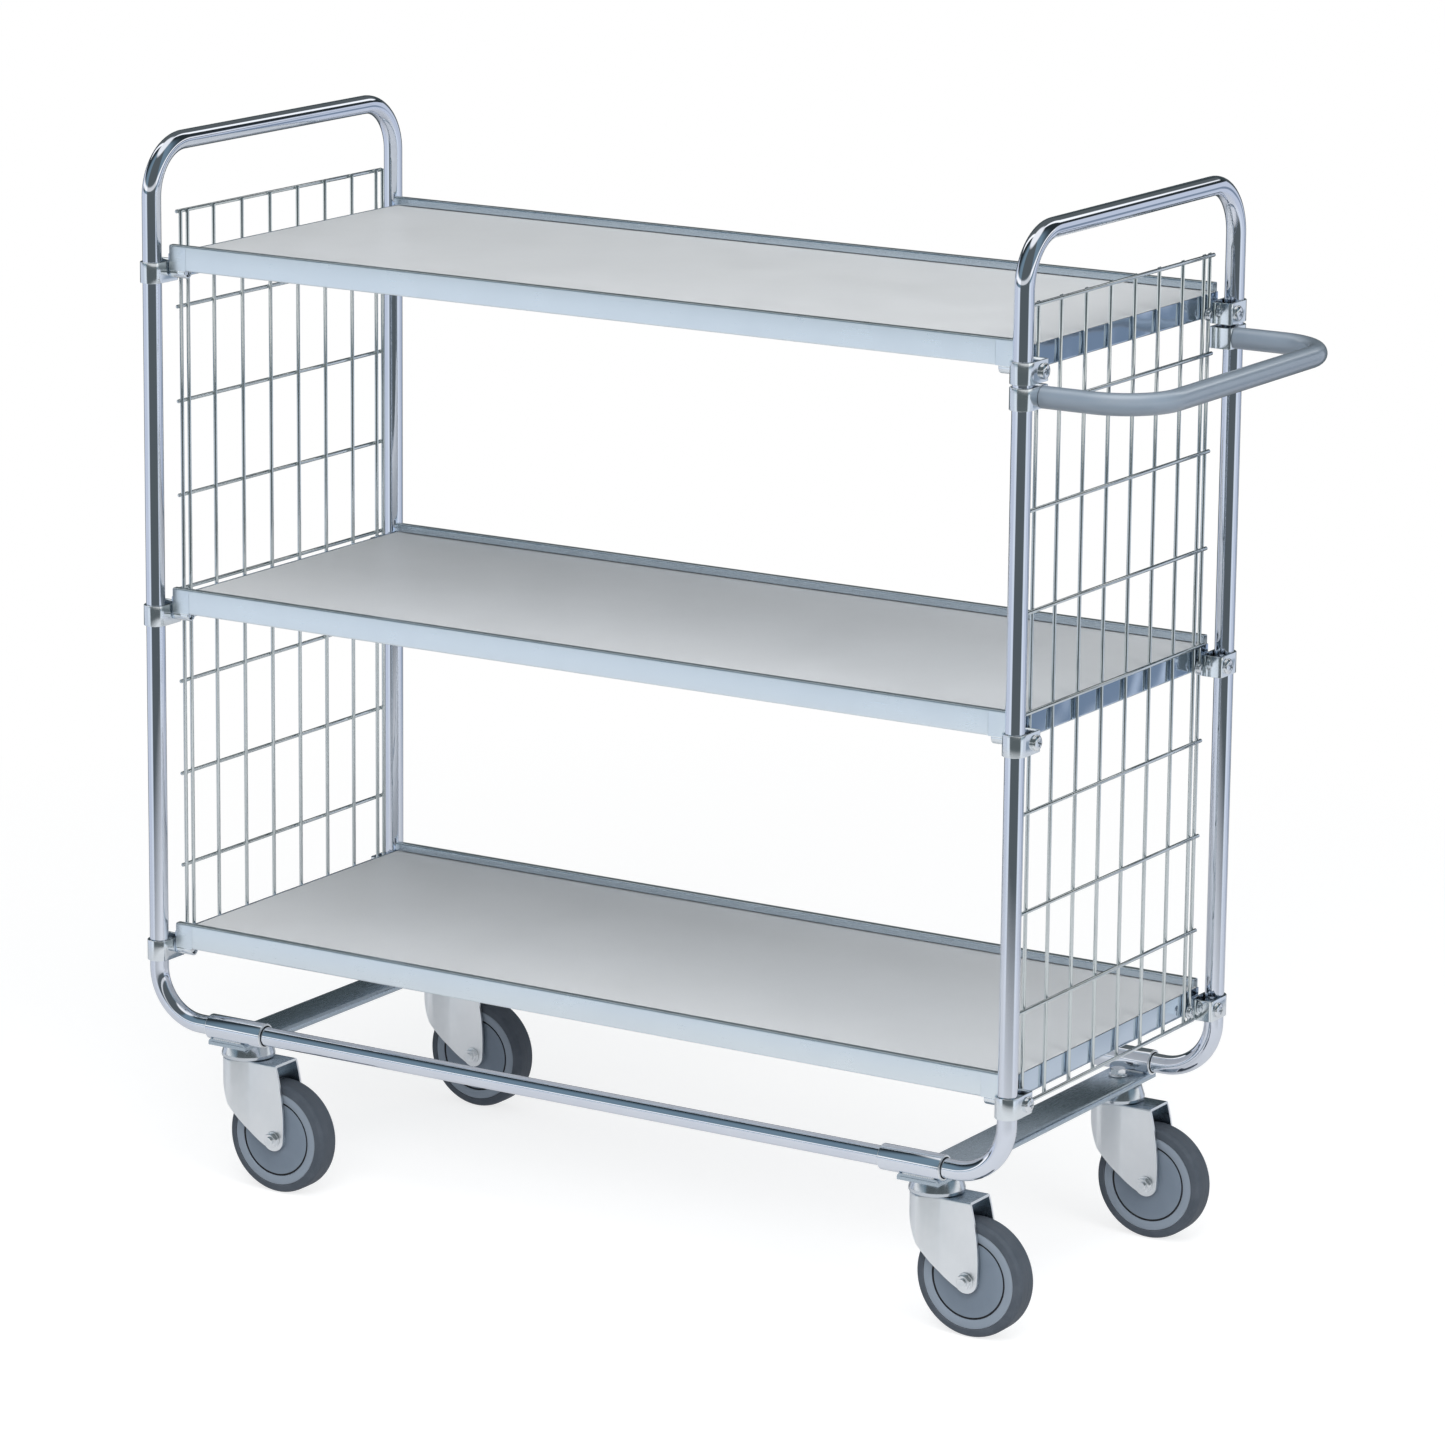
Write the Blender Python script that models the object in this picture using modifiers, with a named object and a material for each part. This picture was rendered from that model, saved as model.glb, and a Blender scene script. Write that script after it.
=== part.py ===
"""Shelf trolley: two bent tube end frames, three framed shelves, mesh ends, push handle, swivel casters.

Metres, +Z up. The long side lies along X with the push handle at +X, and the front side faces -Y.
The origin is on the floor, under the middle of the whole trolley.
"""
import bpy
import bmesh
from math import cos, pi, sin
from mathutils import Vector

# Working gaps
GAP = 0.0003
WELD = 0.0005
OVERRUN = 0.002

# Tubes of the two end frames and the side rails
TUBE_RADIUS = 0.010
TUBE_WALL = 0.0015
POST_HALF_LENGTH = 0.515
POST_HALF_WIDTH = 0.218
BOW_HEIGHT = 1.108
BOW_BEND = 0.055
STUB_BEND = 0.055
TUBE_SIDES = 12
BORE_SIDES = 6
BEND_STEPS = 4
BOW_STEPS = 5

# Joint sleeves and the cross members that they are welded to
SLEEVE_RADIUS = 0.0133
SLEEVE_LENGTH = 0.071
SLEEVE_OFFSET = 0.1035
SLEEVE_SIDES = 12
MEMBER_WIDTH = 0.048
MEMBER_OVERHANG = 0.009
MEMBER_DROP = 0.0182
MEMBER_SEAT = 0.0023
MEMBER_SHEET = 0.003

# Shelves
TOP_SHELF_DROP = 0.132
BOTTOM_SHELF_RISE = 0.074
PROFILE_FACE = 0.208
PROFILE_RISE = 0.0285
PROFILE_HEIGHT = 0.0265
PROFILE_LIP = 0.009
PROFILE_FOOT = 0.016
PROFILE_SHEET = 0.0012
LIP_DEPTH = 0.0095
BOARD_THICKNESS = 0.012
BOARD_EDGE = 0.0008
NOTCH_LENGTH = 0.021
PLATE_HALF_WIDTH = 0.207
PLATE_HEIGHT = 0.0245
PLATE_SHEET = 0.0015
PLATE_CORNER = 0.004
SEAT_HALF_LENGTH = 0.190
SEAT_DEPTH = 0.014
BUSH_RADIUS = 0.0065
BUSH_LENGTH = 0.020
BUSH_HOLE_RADIUS = 0.0046

# Wire mesh ends
WIRE_RADIUS = 0.002
WIRE_SIDES = 6
WIRE_SINK = 0.0008
MESH_RISE = 0.0595
MESH_PITCH_HIGH = 0.100
MESH_PITCH_WIDE = 0.050
MESH_DROP = 0.010
MESH_SINGLES = 6
MESH_PAIR_INNER = 0.1705
MESH_PAIR_OUTER = 0.1825
MESH_HALF_WIDTH = 0.186
MESH_OVERHANG = 0.0016
MESH_SCREW_RADIUS = 0.0025
MESH_SCREW_HEAD_RADIUS = 0.0048
MESH_SCREW_HEAD_HEIGHT = 0.0035
MESH_WASHER_RADIUS = 0.007
MESH_WASHER_HEIGHT = 0.0012

# Clamps round the posts
CLAMP_HEIGHT = 0.022
CLAMP_WALL = 0.0022
CLAMP_REACH = 0.030
CLAMP_SPACING = 0.003
SCREW_INSET = 0.018
SCREW_RADIUS = 0.004
SCREW_REACH = 0.0185
SCREW_HEAD_RADIUS = 0.008
SCREW_HEAD_HEIGHT = 0.005
SCREW_HEAD_RIM = 0.0018
HEAD_CROWN_SHARE = 0.6
ROUND_SIDES = 12
SCREW_SIDES = 8

# Push handle
HANDLE_RADIUS = 0.011
HANDLE_WALL = 0.002
HANDLE_DEPTH = 0.125
HANDLE_BEND = 0.060
SPIGOT_RADIUS = 0.0083
SPIGOT_SIDES = 12
SPIGOT_LENGTH = 0.018

# Casters
KING_OFFSET = 0.094
KING_INSET = 0.030
KING_PIN_RADIUS = 0.006
BOLT_RADIUS = 0.005
BOLT_WASHER_RADIUS = 0.0098
BOLT_WASHER_HEIGHT = 0.002
BOLT_HEAD_RADIUS = 0.0085
BOLT_HEAD_HEIGHT = 0.006
CUP_HEIGHT = 0.0162
CUP_RADIUS = 0.0285
CUP_TOP_RADIUS = 0.0245
CUP_RIM = 0.004
CUP_SIDES = 12
PIN_NUT_RADIUS = 0.010
PIN_NUT_HEIGHT = 0.005
HEX_SIDES = 6
TRAIL = 0.045
FORK_SHEET = 0.0025
FORK_CLEARANCE = 0.021
FORK_SKIRT = 0.011
FORK_FRONT_RADIUS = 0.0270
FORK_HALF_WIDTH = 0.0195
FORK_BOSS_RADIUS = 0.013
FORK_REAR = 0.0487
FORK_REAR_BULGE = 0.0025
FORK_SHOULDER = 0.010
FORK_SHOULDER_ANGLE = 1.22
FRONT_PULL_SHARE = 0.35
AXLE_RADIUS = 0.004
AXLE_HEX_RADIUS = 0.0072
AXLE_HEX_HEIGHT = 0.006
AXLE_END = 0.0025

# Wheels
WHEEL_RADIUS = 0.060
TYRE_INNER_RADIUS = 0.051
TYRE_HALF_WIDTH = 0.015
TREAD_HALF_WIDTH = 0.0105
TREAD_SHOULDER_RADIUS = 0.0575
RIM_FACE_HALF_WIDTH = 0.0145
RIM_DISH_RADIUS = 0.034
RIM_DISH_HALF_WIDTH = 0.0135
HUB_BOSS_RADIUS = 0.011
SHOULDER_SHARE = 0.93
WHEEL_SIDES = 20

# Places worked out from the sizes above
SCREW_LINE = POST_HALF_WIDTH - SCREW_INSET
CLAMP_HOLE = TUBE_RADIUS + GAP
CLAMP_HALF = CLAMP_HOLE + CLAMP_WALL
PLATE_FACE = POST_HALF_LENGTH - CLAMP_HALF - GAP
PROFILE_HALF_LENGTH = PLATE_FACE - PLATE_SHEET - GAP
MESH_FACE = PLATE_FACE + GAP + WIRE_RADIUS
MESH_SCREW_LINE = (MESH_PAIR_INNER + MESH_PAIR_OUTER) / 2
SLEEVE_MIDDLE = POST_HALF_LENGTH - SLEEVE_OFFSET
MEMBER_HALF_LENGTH = POST_HALF_WIDTH + MEMBER_OVERHANG
FORK_TOP = WHEEL_RADIUS * 2 + FORK_CLEARANCE
CUP_LOW = FORK_TOP + GAP
CUP_TOP = CUP_LOW + CUP_HEIGHT
MEMBER_BOTTOM = CUP_TOP + GAP
RAIL_HEIGHT = MEMBER_BOTTOM + MEMBER_DROP
MEMBER_TOP = RAIL_HEIGHT - SLEEVE_RADIUS + MEMBER_SEAT
TOP_LEVEL = BOW_HEIGHT - TOP_SHELF_DROP
BOTTOM_LEVEL = RAIL_HEIGHT + BOTTOM_SHELF_RISE
SHELF_LEVELS = {"top": TOP_LEVEL, "middle": (TOP_LEVEL + BOTTOM_LEVEL) / 2, "bottom": BOTTOM_LEVEL}
MESH_TOP = TOP_LEVEL + MESH_RISE
MESH_BOTTOM = BOTTOM_LEVEL - MESH_DROP
HANDLE_HEIGHT = TOP_LEVEL - CLAMP_HEIGHT - CLAMP_SPACING
KING_HALF_LENGTH = POST_HALF_LENGTH - KING_OFFSET
KING_HALF_WIDTH = POST_HALF_WIDTH - KING_INSET
HANDLE_REACH = POST_HALF_LENGTH + HANDLE_DEPTH
CLAMP_END = POST_HALF_LENGTH + CLAMP_HALF + SCREW_HEAD_HEIGHT
RIGHT_END = HANDLE_REACH + HANDLE_RADIUS
ORIGIN_SHIFT = (CLAMP_END - RIGHT_END) / 2
SIDES = (("left", -1), ("right", 1))
FACES = (("front", -1), ("rear", 1))


def clear_scene():
    for old in list(bpy.data.objects):
        bpy.data.objects.remove(old)


def add_collection(name):
    group = bpy.data.collections.new(name)
    bpy.context.scene.collection.children.link(group)
    return group


def add_material(name, colour, roughness, metallic):
    """Makes a plain shader with a part's colour, gloss and metal value."""
    made = bpy.data.materials.new(name)
    made.use_nodes = True
    shader = made.node_tree.nodes["Principled BSDF"]
    shader.inputs["Base Color"].default_value = (*colour, 1)
    shader.inputs["Roughness"].default_value = roughness
    shader.inputs["Metallic"].default_value = metallic
    made.diffuse_color = (*colour, 1)
    return made


clear_scene()
PARTS = add_collection("shelf_trolley")
CUTTERS = add_collection("cutters")
CHROME = add_material("bright_zinc_tube", (0.66, 0.70, 0.76), 0.12, 1.0)
SHEET_ZINC = add_material("zinc_sheet", (0.62, 0.68, 0.75), 0.25, 1.0)
WIRE_ZINC = add_material("bright_wire", (0.70, 0.70, 0.68), 0.18, 1.0)
FASTENER = add_material("zinc_fastener", (0.68, 0.70, 0.72), 0.30, 1.0)
LAMINATE = add_material("grey_laminate", (0.52, 0.52, 0.52), 0.45, 0.0)
COATING = add_material("blue_grey_coating", (0.27, 0.32, 0.39), 0.35, 0.0)
PRESSED_ZINC = add_material("pressed_zinc", (0.66, 0.70, 0.72), 0.35, 1.0)
GREY_RUBBER = add_material("grey_rubber", (0.075, 0.08, 0.09), 0.60, 0.0)
GREY_NYLON = add_material("grey_nylon", (0.22, 0.26, 0.30), 0.45, 0.0)

BASE = bpy.data.objects.new("trolley_origin", None)
PARTS.objects.link(BASE)
BASE.location.x = ORIGIN_SHIFT


def add_empty(name, place, parent=BASE):
    made = bpy.data.objects.new(name, None)
    PARTS.objects.link(made)
    made.parent = parent
    made.location = place
    return made


def add_object(name, data, parent, hidden=False):
    """Links new data as a part, or as a hidden helper that only cuts or joins."""
    made = bpy.data.objects.new(name, data)
    (CUTTERS if hidden else PARTS).objects.link(made)
    made.parent = parent
    if hidden:
        made.hide_render = True
        made.display_type = "WIRE"
    return made


def finish(part, material, smooth_angle=0.6):
    """Gives a part its material and smooth shading that stays sharp at its edges."""
    part.data.materials.clear()
    part.data.materials.append(material)
    part.data.shade_smooth()
    part.data.set_sharp_from_angle(angle=smooth_angle)
    return part


def mesh_from_curve(name, curve, parent, place, turn, hidden):
    """Turns a curve object into a closed mesh object in the same place."""
    source = bpy.data.objects.new(name + "_curve", curve)
    bpy.context.scene.collection.objects.link(source)
    source.parent = parent
    source.location = place
    source.rotation_euler = turn
    bpy.context.view_layer.update()
    evaluated = source.evaluated_get(bpy.context.evaluated_depsgraph_get())
    mesh = bpy.data.meshes.new_from_object(evaluated)
    shape = bmesh.new()
    shape.from_mesh(mesh)
    bmesh.ops.remove_doubles(shape, verts=shape.verts, dist=GAP / 30)
    bmesh.ops.recalc_face_normals(shape, faces=shape.faces)
    shape.to_mesh(mesh)
    shape.free()
    mesh.name = name
    made = add_object(name, mesh, parent, hidden)
    made.location = place
    made.rotation_euler = turn
    bpy.data.objects.remove(source)
    bpy.data.curves.remove(curve)
    bpy.context.view_layer.update()
    return made


def tube(name, paths, radius, sides, parent=BASE, hidden=False):
    """Sweeps a round section with an even number of sides along one or more open paths."""
    curve = bpy.data.curves.new(name, "CURVE")
    curve.dimensions = "3D"
    curve.bevel_depth = radius
    curve.bevel_resolution = sides // 2 - 2
    curve.use_fill_caps = True
    for path in paths:
        spline = curve.splines.new("POLY")
        spline.points.add(len(path) - 1)
        for point, place in zip(spline.points, path):
            point.co = (*place, 1)
    return mesh_from_curve(name, curve, parent, (0, 0, 0), (0, 0, 0), hidden)


TURNS = {"Z": (0, 0, 0), "Y": (pi / 2, 0, 0), "X": (pi / 2, 0, pi / 2)}


def extrusion(name, outlines, thickness, axis, place, parent=BASE, hidden=False):
    """Extrudes flat outlines along an axis, half the thickness each way. Inner outlines are holes."""
    curve = bpy.data.curves.new(name, "CURVE")
    curve.dimensions = "2D"
    curve.fill_mode = "BOTH"
    curve.extrude = thickness / 2
    for outline in outlines:
        spline = curve.splines.new("POLY")
        spline.points.add(len(outline) - 1)
        spline.use_cyclic_u = True
        for point, (across, up) in zip(spline.points, outline):
            point.co = (across, up, 0, 1)
    return mesh_from_curve(name, curve, parent, place, TURNS[axis], hidden)


def turned(name, profile, axis, place, sides, parent=BASE, hidden=False, closed=False):
    """Turns a profile of (radius, height) points, listed down its outer side, about an axis."""
    mesh = bpy.data.meshes.new(name)
    points = [(radius, 0, height) for radius, height in profile]
    edges = [(i, i + 1) for i in range(len(points) - 1)]
    if closed:
        edges.append((len(points) - 1, 0))
    mesh.from_pydata(points, edges, [])
    made = add_object(name, mesh, parent, hidden)
    made.location = place
    made.rotation_euler = TURNS[axis]
    screw = made.modifiers.new("turn", "SCREW")
    screw.axis = "Z"
    screw.steps = sides
    screw.render_steps = sides
    screw.use_merge_vertices = True
    screw.merge_threshold = GAP / 30
    screw.use_smooth_shade = False
    return made


def cylinder(name, radius, length, axis, place, sides, parent=BASE, hidden=True):
    """A plain cylinder or prism about an axis, with its middle at the place."""
    bpy.ops.mesh.primitive_cylinder_add(vertices=sides, radius=radius, depth=length)
    made = bpy.context.object
    made.name = name
    made.data.name = name
    move_to_group(made, hidden)
    made.parent = parent
    made.location = place
    made.rotation_euler = TURNS[axis]
    return made


def move_to_group(part, hidden):
    for group in list(part.users_collection):
        group.objects.unlink(part)
    (CUTTERS if hidden else PARTS).objects.link(part)
    if hidden:
        part.hide_render = True
        part.display_type = "WIRE"


def box(name, size, place, parent=BASE, hidden=True):
    """A block with its size in its vertices, so that its scale stays plain."""
    bpy.ops.mesh.primitive_cube_add(size=1)
    made = bpy.context.object
    made.name = name
    made.data.name = name
    for vertex in made.data.vertices:
        vertex.co = Vector(c * s for c, s in zip(vertex.co, size))
    move_to_group(made, hidden)
    made.parent = parent
    made.location = place
    return made


def combine(part, operation, *others):
    """Cuts, joins or trims a part with other shapes, in the order given."""
    for other in others:
        step = part.modifiers.new(operation.lower(), "BOOLEAN")
        step.operation = operation
        step.solver = "EXACT"
        step.object = other
    return part


def round_edges(part, width, segments=1):
    edge = part.modifiers.new("edges", "BEVEL")
    edge.width = width
    edge.segments = segments
    edge.limit_method = "ANGLE"
    return part


def arc(centre, radius, start, end, steps):
    """Points on a circle in a plane, from one angle to another."""
    return [(centre[0] + radius * cos(start + (end - start) * i / steps),
             centre[1] + radius * sin(start + (end - start) * i / steps)) for i in range(steps + 1)]


def quadratic(start, pull, end, steps):
    """Points on a smooth curve that leaves its start and meets its end towards one pull point."""
    made = []
    for i in range(steps + 1):
        t = i / steps
        made.append(tuple((1 - t) ** 2 * a + 2 * t * (1 - t) * b + t ** 2 * c
                          for a, b, c in zip(start, pull, end)))
    return made


def sheet_outline(path, thickness):
    """Closes a right-angled path into a folded sheet whose material lies on the path's left."""
    inner = []
    for i, here in enumerate(path):
        ways = []
        if i > 0:
            ways.append(direction(path[i - 1], here))
        if i < len(path) - 1:
            ways.append(direction(here, path[i + 1]))
        if len(ways) == 1:
            inner.append((here[0] - ways[0][1] * thickness, here[1] + ways[0][0] * thickness))
        else:
            offset_x = -(ways[0][1] + ways[1][1]) * thickness
            offset_y = (ways[0][0] + ways[1][0]) * thickness
            inner.append((here[0] + offset_x, here[1] + offset_y))
    return path + inner[::-1]


def direction(start, end):
    """The unit direction from one flat point to another."""
    way = Vector((end[0] - start[0], end[1] - start[1])).normalized()
    return way.x, way.y


# End frames: one bent tube each, from stub to stub over the top
def end_frame_path(side, cut=0.0):
    """The tube's middle line. A cut lengthens the stubs, for the bore."""
    stub = side * (SLEEVE_MIDDLE + GAP - cut)
    post, wide = side * POST_HALF_LENGTH, POST_HALF_WIDTH
    bend_x = post - side * STUB_BEND
    low, high = RAIL_HEIGHT + STUB_BEND, BOW_HEIGHT - BOW_BEND
    path = [(stub, -wide, RAIL_HEIGHT)]
    path += [(x, -wide, z) for x, z in side_arc(bend_x, low, side, -pi / 2, 0)]
    path += [(post, y, z) for y, z in arc((-wide + BOW_BEND, high), BOW_BEND, pi, pi / 2, BOW_STEPS)]
    path += [(post, y, z) for y, z in arc((wide - BOW_BEND, high), BOW_BEND, pi / 2, 0, BOW_STEPS)]
    path += [(x, wide, z) for x, z in side_arc(bend_x, low, side, 0, -pi / 2)]
    path.append((stub, wide, RAIL_HEIGHT))
    return path


def side_arc(bend_x, low, side, start, end):
    """The bend between a stub and its post, seen from the front."""
    return [(bend_x + side * x, low + z) for x, z in arc((0, 0), STUB_BEND, start, end, BEND_STEPS)]


def make_end_frames():
    """One bent tube at each end of the trolley."""
    for word, side in SIDES:
        name = "end_frame_" + word
        part = tube(name, [end_frame_path(side)], TUBE_RADIUS, TUBE_SIDES)
        bore = tube(name + "_bore", [end_frame_path(side, OVERRUN)], TUBE_RADIUS - TUBE_WALL,
                    BORE_SIDES, hidden=True)
        combine(part, "DIFFERENCE", bore)
        finish(part, CHROME)


def make_side_rails():
    """The straight tubes between the end frames' stubs, front and rear."""
    for word, face in FACES:
        name = "side_rail_" + word
        line = (face * POST_HALF_WIDTH, RAIL_HEIGHT)
        reach = SLEEVE_MIDDLE - GAP
        part = tube(name, [[(-reach, *line), (reach, *line)]], TUBE_RADIUS, TUBE_SIDES)
        long = reach + OVERRUN
        bore = tube(name + "_bore", [[(-long, *line), (long, *line)]], TUBE_RADIUS - TUBE_WALL,
                    BORE_SIDES, hidden=True)
        combine(part, "DIFFERENCE", bore)
        finish(part, CHROME)


def make_cross_members():
    """Shallow channels with their web on top, a sleeve welded across each end and two bolt holes."""
    half = MEMBER_WIDTH / 2
    path = [(half, MEMBER_BOTTOM), (half, MEMBER_TOP), (-half, MEMBER_TOP), (-half, MEMBER_BOTTOM)]
    for word, side in SIDES:
        name = "cross_member_" + word
        part = extrusion(name, [sheet_outline(path, MEMBER_SHEET)], MEMBER_HALF_LENGTH * 2, "Y",
                         (side * KING_HALF_LENGTH, 0, 0))
        for face_word, face in FACES:
            place = (side * SLEEVE_MIDDLE, face * POST_HALF_WIDTH, RAIL_HEIGHT)
            tag = name + "_" + face_word
            combine(part, "UNION", cylinder(tag + "_sleeve", SLEEVE_RADIUS, SLEEVE_LENGTH, "X", place,
                                            SLEEVE_SIDES))
            combine(part, "DIFFERENCE", cylinder(tag + "_bore", TUBE_RADIUS + GAP,
                                                 SLEEVE_LENGTH + OVERRUN, "X", place, SLEEVE_SIDES))
            hole = (side * KING_HALF_LENGTH, face * KING_HALF_WIDTH, MEMBER_TOP)
            combine(part, "DIFFERENCE", cylinder(tag + "_hole", BOLT_RADIUS + GAP * 2,
                                                 MEMBER_SHEET * 3, "Z", hole, ROUND_SIDES))
        finish(part, SHEET_ZINC)


def make_end_meshes():
    """Grids of straight wires, with the level wires welded to the outside of the upright ones."""
    count = int((MESH_TOP - MESH_BOTTOM) / MESH_PITCH_HIGH) + 1
    rows = [MESH_TOP - MESH_PITCH_HIGH * i for i in range(count)] + [MESH_BOTTOM]
    middle = (MESH_SINGLES - 1) / 2
    columns = [MESH_PITCH_WIDE * (i - middle) for i in range(MESH_SINGLES)]
    for pair in (MESH_PAIR_INNER, MESH_PAIR_OUTER):
        columns += [-pair, pair]
    for word, side in SIDES:
        name = "end_mesh_" + word
        upright = side * MESH_FACE
        level = side * (MESH_FACE + WIRE_RADIUS * 2 - WIRE_SINK)
        low, high = rows[-1] - MESH_OVERHANG, rows[0] + MESH_OVERHANG
        part = tube(name, [[(upright, y, low), (upright, y, high)] for y in columns],
                    WIRE_RADIUS, WIRE_SIDES)
        across = tube(name + "_rows", [[(level, -MESH_HALF_WIDTH, z), (level, MESH_HALF_WIDTH, z)]
                                       for z in rows], WIRE_RADIUS, WIRE_SIDES, hidden=True)
        combine(part, "UNION", across)
        finish(part, WIRE_ZINC)


# Shelves: a board in two long profiles, with a plate across each end
def board_top(level):
    """The height of a board's upper face, just under the profiles' lips."""
    return level + PROFILE_RISE - LIP_DEPTH


def make_shelf_board(word, level):
    """The laminated board, with its edges just broken."""
    length = (PROFILE_HALF_LENGTH - GAP * 2) * 2
    width = (PROFILE_FACE - PROFILE_SHEET - GAP) * 2
    middle = board_top(level) - BOARD_THICKNESS / 2
    part = box("shelf_board_" + word, (length, width, BOARD_THICKNESS), (0, 0, middle), hidden=False)
    round_edges(part, BOARD_EDGE)
    finish(part, LAMINATE)


def make_shelf_profiles(word, level):
    """The folded long edges that hold the board, with the foot cut back for the bushes."""
    top = level + PROFILE_RISE
    seat = board_top(level) - BOARD_THICKNESS - GAP
    low = top - PROFILE_HEIGHT
    path = [(PROFILE_LIP, board_top(level) + GAP), (PROFILE_LIP, top), (0, top), (0, low),
            (PROFILE_FOOT, low), (PROFILE_FOOT, seat)]
    section = sheet_outline(path, PROFILE_SHEET)
    depth = PROFILE_FOOT - PROFILE_SHEET + OVERRUN
    notch_size = (NOTCH_LENGTH + OVERRUN, depth, seat - low + OVERRUN)
    for face_word, face in FACES:
        name = "shelf_profile_%s_%s" % (word, face_word)
        outline = [(face * (PROFILE_FACE - inward), z) for inward, z in section]
        part = extrusion(name, [outline], PROFILE_HALF_LENGTH * 2, "X", (0, 0, 0))
        for side_word, side in SIDES:
            place = (side * (PROFILE_HALF_LENGTH + (OVERRUN - NOTCH_LENGTH) / 2),
                     face * (PROFILE_FACE - PROFILE_SHEET - depth / 2), (seat + low) / 2)
            combine(part, "DIFFERENCE", box("%s_%s_notch" % (name, side_word), notch_size, place))
        finish(part, SHEET_ZINC)


def plate_outline(level):
    """The end plate seen along the trolley, with its lower corners rounded."""
    half, top, corner = PLATE_HALF_WIDTH, board_top(level), PLATE_CORNER
    low = top - PLATE_HEIGHT
    outline = [(half, top), (-half, top)]
    outline += arc((corner - half, low + corner), corner, pi, pi * 3 / 2, 3)
    outline += arc((half - corner, low + corner), corner, pi * 3 / 2, pi * 2, 3)
    return outline


def make_shelf_ends(word, level):
    """The end plates, each with a folded seat for the board, two bushes and two mesh screws."""
    seat = board_top(level) - BOARD_THICKNESS - GAP
    low = board_top(level) - PLATE_HEIGHT
    path = [(PLATE_SHEET - WELD, low), (SEAT_DEPTH, low), (SEAT_DEPTH, seat)]
    section = sheet_outline(path, PLATE_SHEET)
    for side_word, side in SIDES:
        name = "shelf_end_%s_%s" % (word, side_word)
        middle = side * (PLATE_FACE - PLATE_SHEET / 2)
        part = extrusion(name, [plate_outline(level)], PLATE_SHEET, "X", (middle, 0, 0))
        fold = [(side * (PLATE_FACE - inward), z) for inward, z in section]
        combine(part, "UNION", extrusion(name + "_seat", [fold], SEAT_HALF_LENGTH * 2, "Y", (0, 0, 0),
                                         hidden=True))
        for face_word, face in FACES:
            tag = "%s_%s" % (name, face_word)
            bush = side * (PLATE_FACE - WELD - BUSH_LENGTH / 2)
            combine(part, "UNION", cylinder(tag + "_bush", BUSH_RADIUS, BUSH_LENGTH, "X",
                                            (bush, face * SCREW_LINE, level), SCREW_SIDES))
            combine(part, "DIFFERENCE", cylinder(tag + "_bore", BUSH_HOLE_RADIUS,
                                                 BUSH_LENGTH + OVERRUN * 2, "X",
                                                 (bush, face * SCREW_LINE, level), SCREW_SIDES))
            combine(part, "UNION", mesh_screw(tag + "_screw", side, face, level))
        finish(part, SHEET_ZINC)


def mesh_screw(name, side, face, level):
    """A screw in the end plate whose washer bears on a pair of upright wires."""
    washer = GAP + WIRE_RADIUS * 2 + GAP
    head = washer + MESH_WASHER_HEIGHT
    profile = [(0, head + MESH_SCREW_HEAD_HEIGHT), (MESH_SCREW_HEAD_RADIUS, head + MESH_SCREW_HEAD_HEIGHT),
               (MESH_SCREW_HEAD_RADIUS, head), (MESH_WASHER_RADIUS, head), (MESH_WASHER_RADIUS, washer),
               (MESH_SCREW_RADIUS, washer), (MESH_SCREW_RADIUS, -WELD), (0, -WELD)]
    place = (side * PLATE_FACE, face * MESH_SCREW_LINE, level)
    return turned_sideways(name, profile, side, place, HEX_SIDES)


def turned_sideways(name, profile, side, place, sides):
    """A hidden turned shape whose heights point outward at one end of the trolley."""
    made = turned(name, profile, "X", place, sides, hidden=True)
    made.rotation_euler.z = side * pi / 2
    return made


def clamp_outlines(face):
    """A closed strap that lies round the post and runs inward, seen from above."""
    outlines = []
    for radius, reach in ((CLAMP_HALF, CLAMP_REACH), (CLAMP_HOLE, CLAMP_REACH - CLAMP_WALL)):
        outline = arc((0, 0), radius, pi, pi * 2, SCREW_SIDES) + [(radius, reach), (-radius, reach)]
        outlines.append([(x, -face * y) for x, y in outline])
    return outlines


def make_clamp(name, side, face, height):
    """A strap round one post, at one height."""
    post = (side * POST_HALF_LENGTH, face * POST_HALF_WIDTH, height)
    return extrusion(name, clamp_outlines(face), CLAMP_HEIGHT, "Z", post)


def screw_profile(reach):
    """A pan head on the strap and a shank through both of its walls, from the head's seat."""
    return [(0, SCREW_HEAD_HEIGHT), (SCREW_HEAD_RADIUS * HEAD_CROWN_SHARE, SCREW_HEAD_HEIGHT),
            (SCREW_HEAD_RADIUS, SCREW_HEAD_RIM), (SCREW_HEAD_RADIUS, -WELD), (SCREW_RADIUS, -WELD),
            (SCREW_RADIUS, -reach), (0, -reach)]


def make_shelf_clamps(word, level):
    """The four clamps that hold one shelf's bushes to the posts."""
    reach = CLAMP_HALF * 2 + SCREW_REACH
    for side_word, side in SIDES:
        for face_word, face in FACES:
            name = "shelf_clamp_%s_%s_%s" % (word, side_word, face_word)
            part = make_clamp(name, side, face, level)
            seat = (side * (POST_HALF_LENGTH + CLAMP_HALF), face * SCREW_LINE, level)
            screw = turned_sideways(name + "_screw", screw_profile(reach), side, seat, SCREW_SIDES)
            combine(part, "UNION", screw)
            finish(part, FASTENER)


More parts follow.
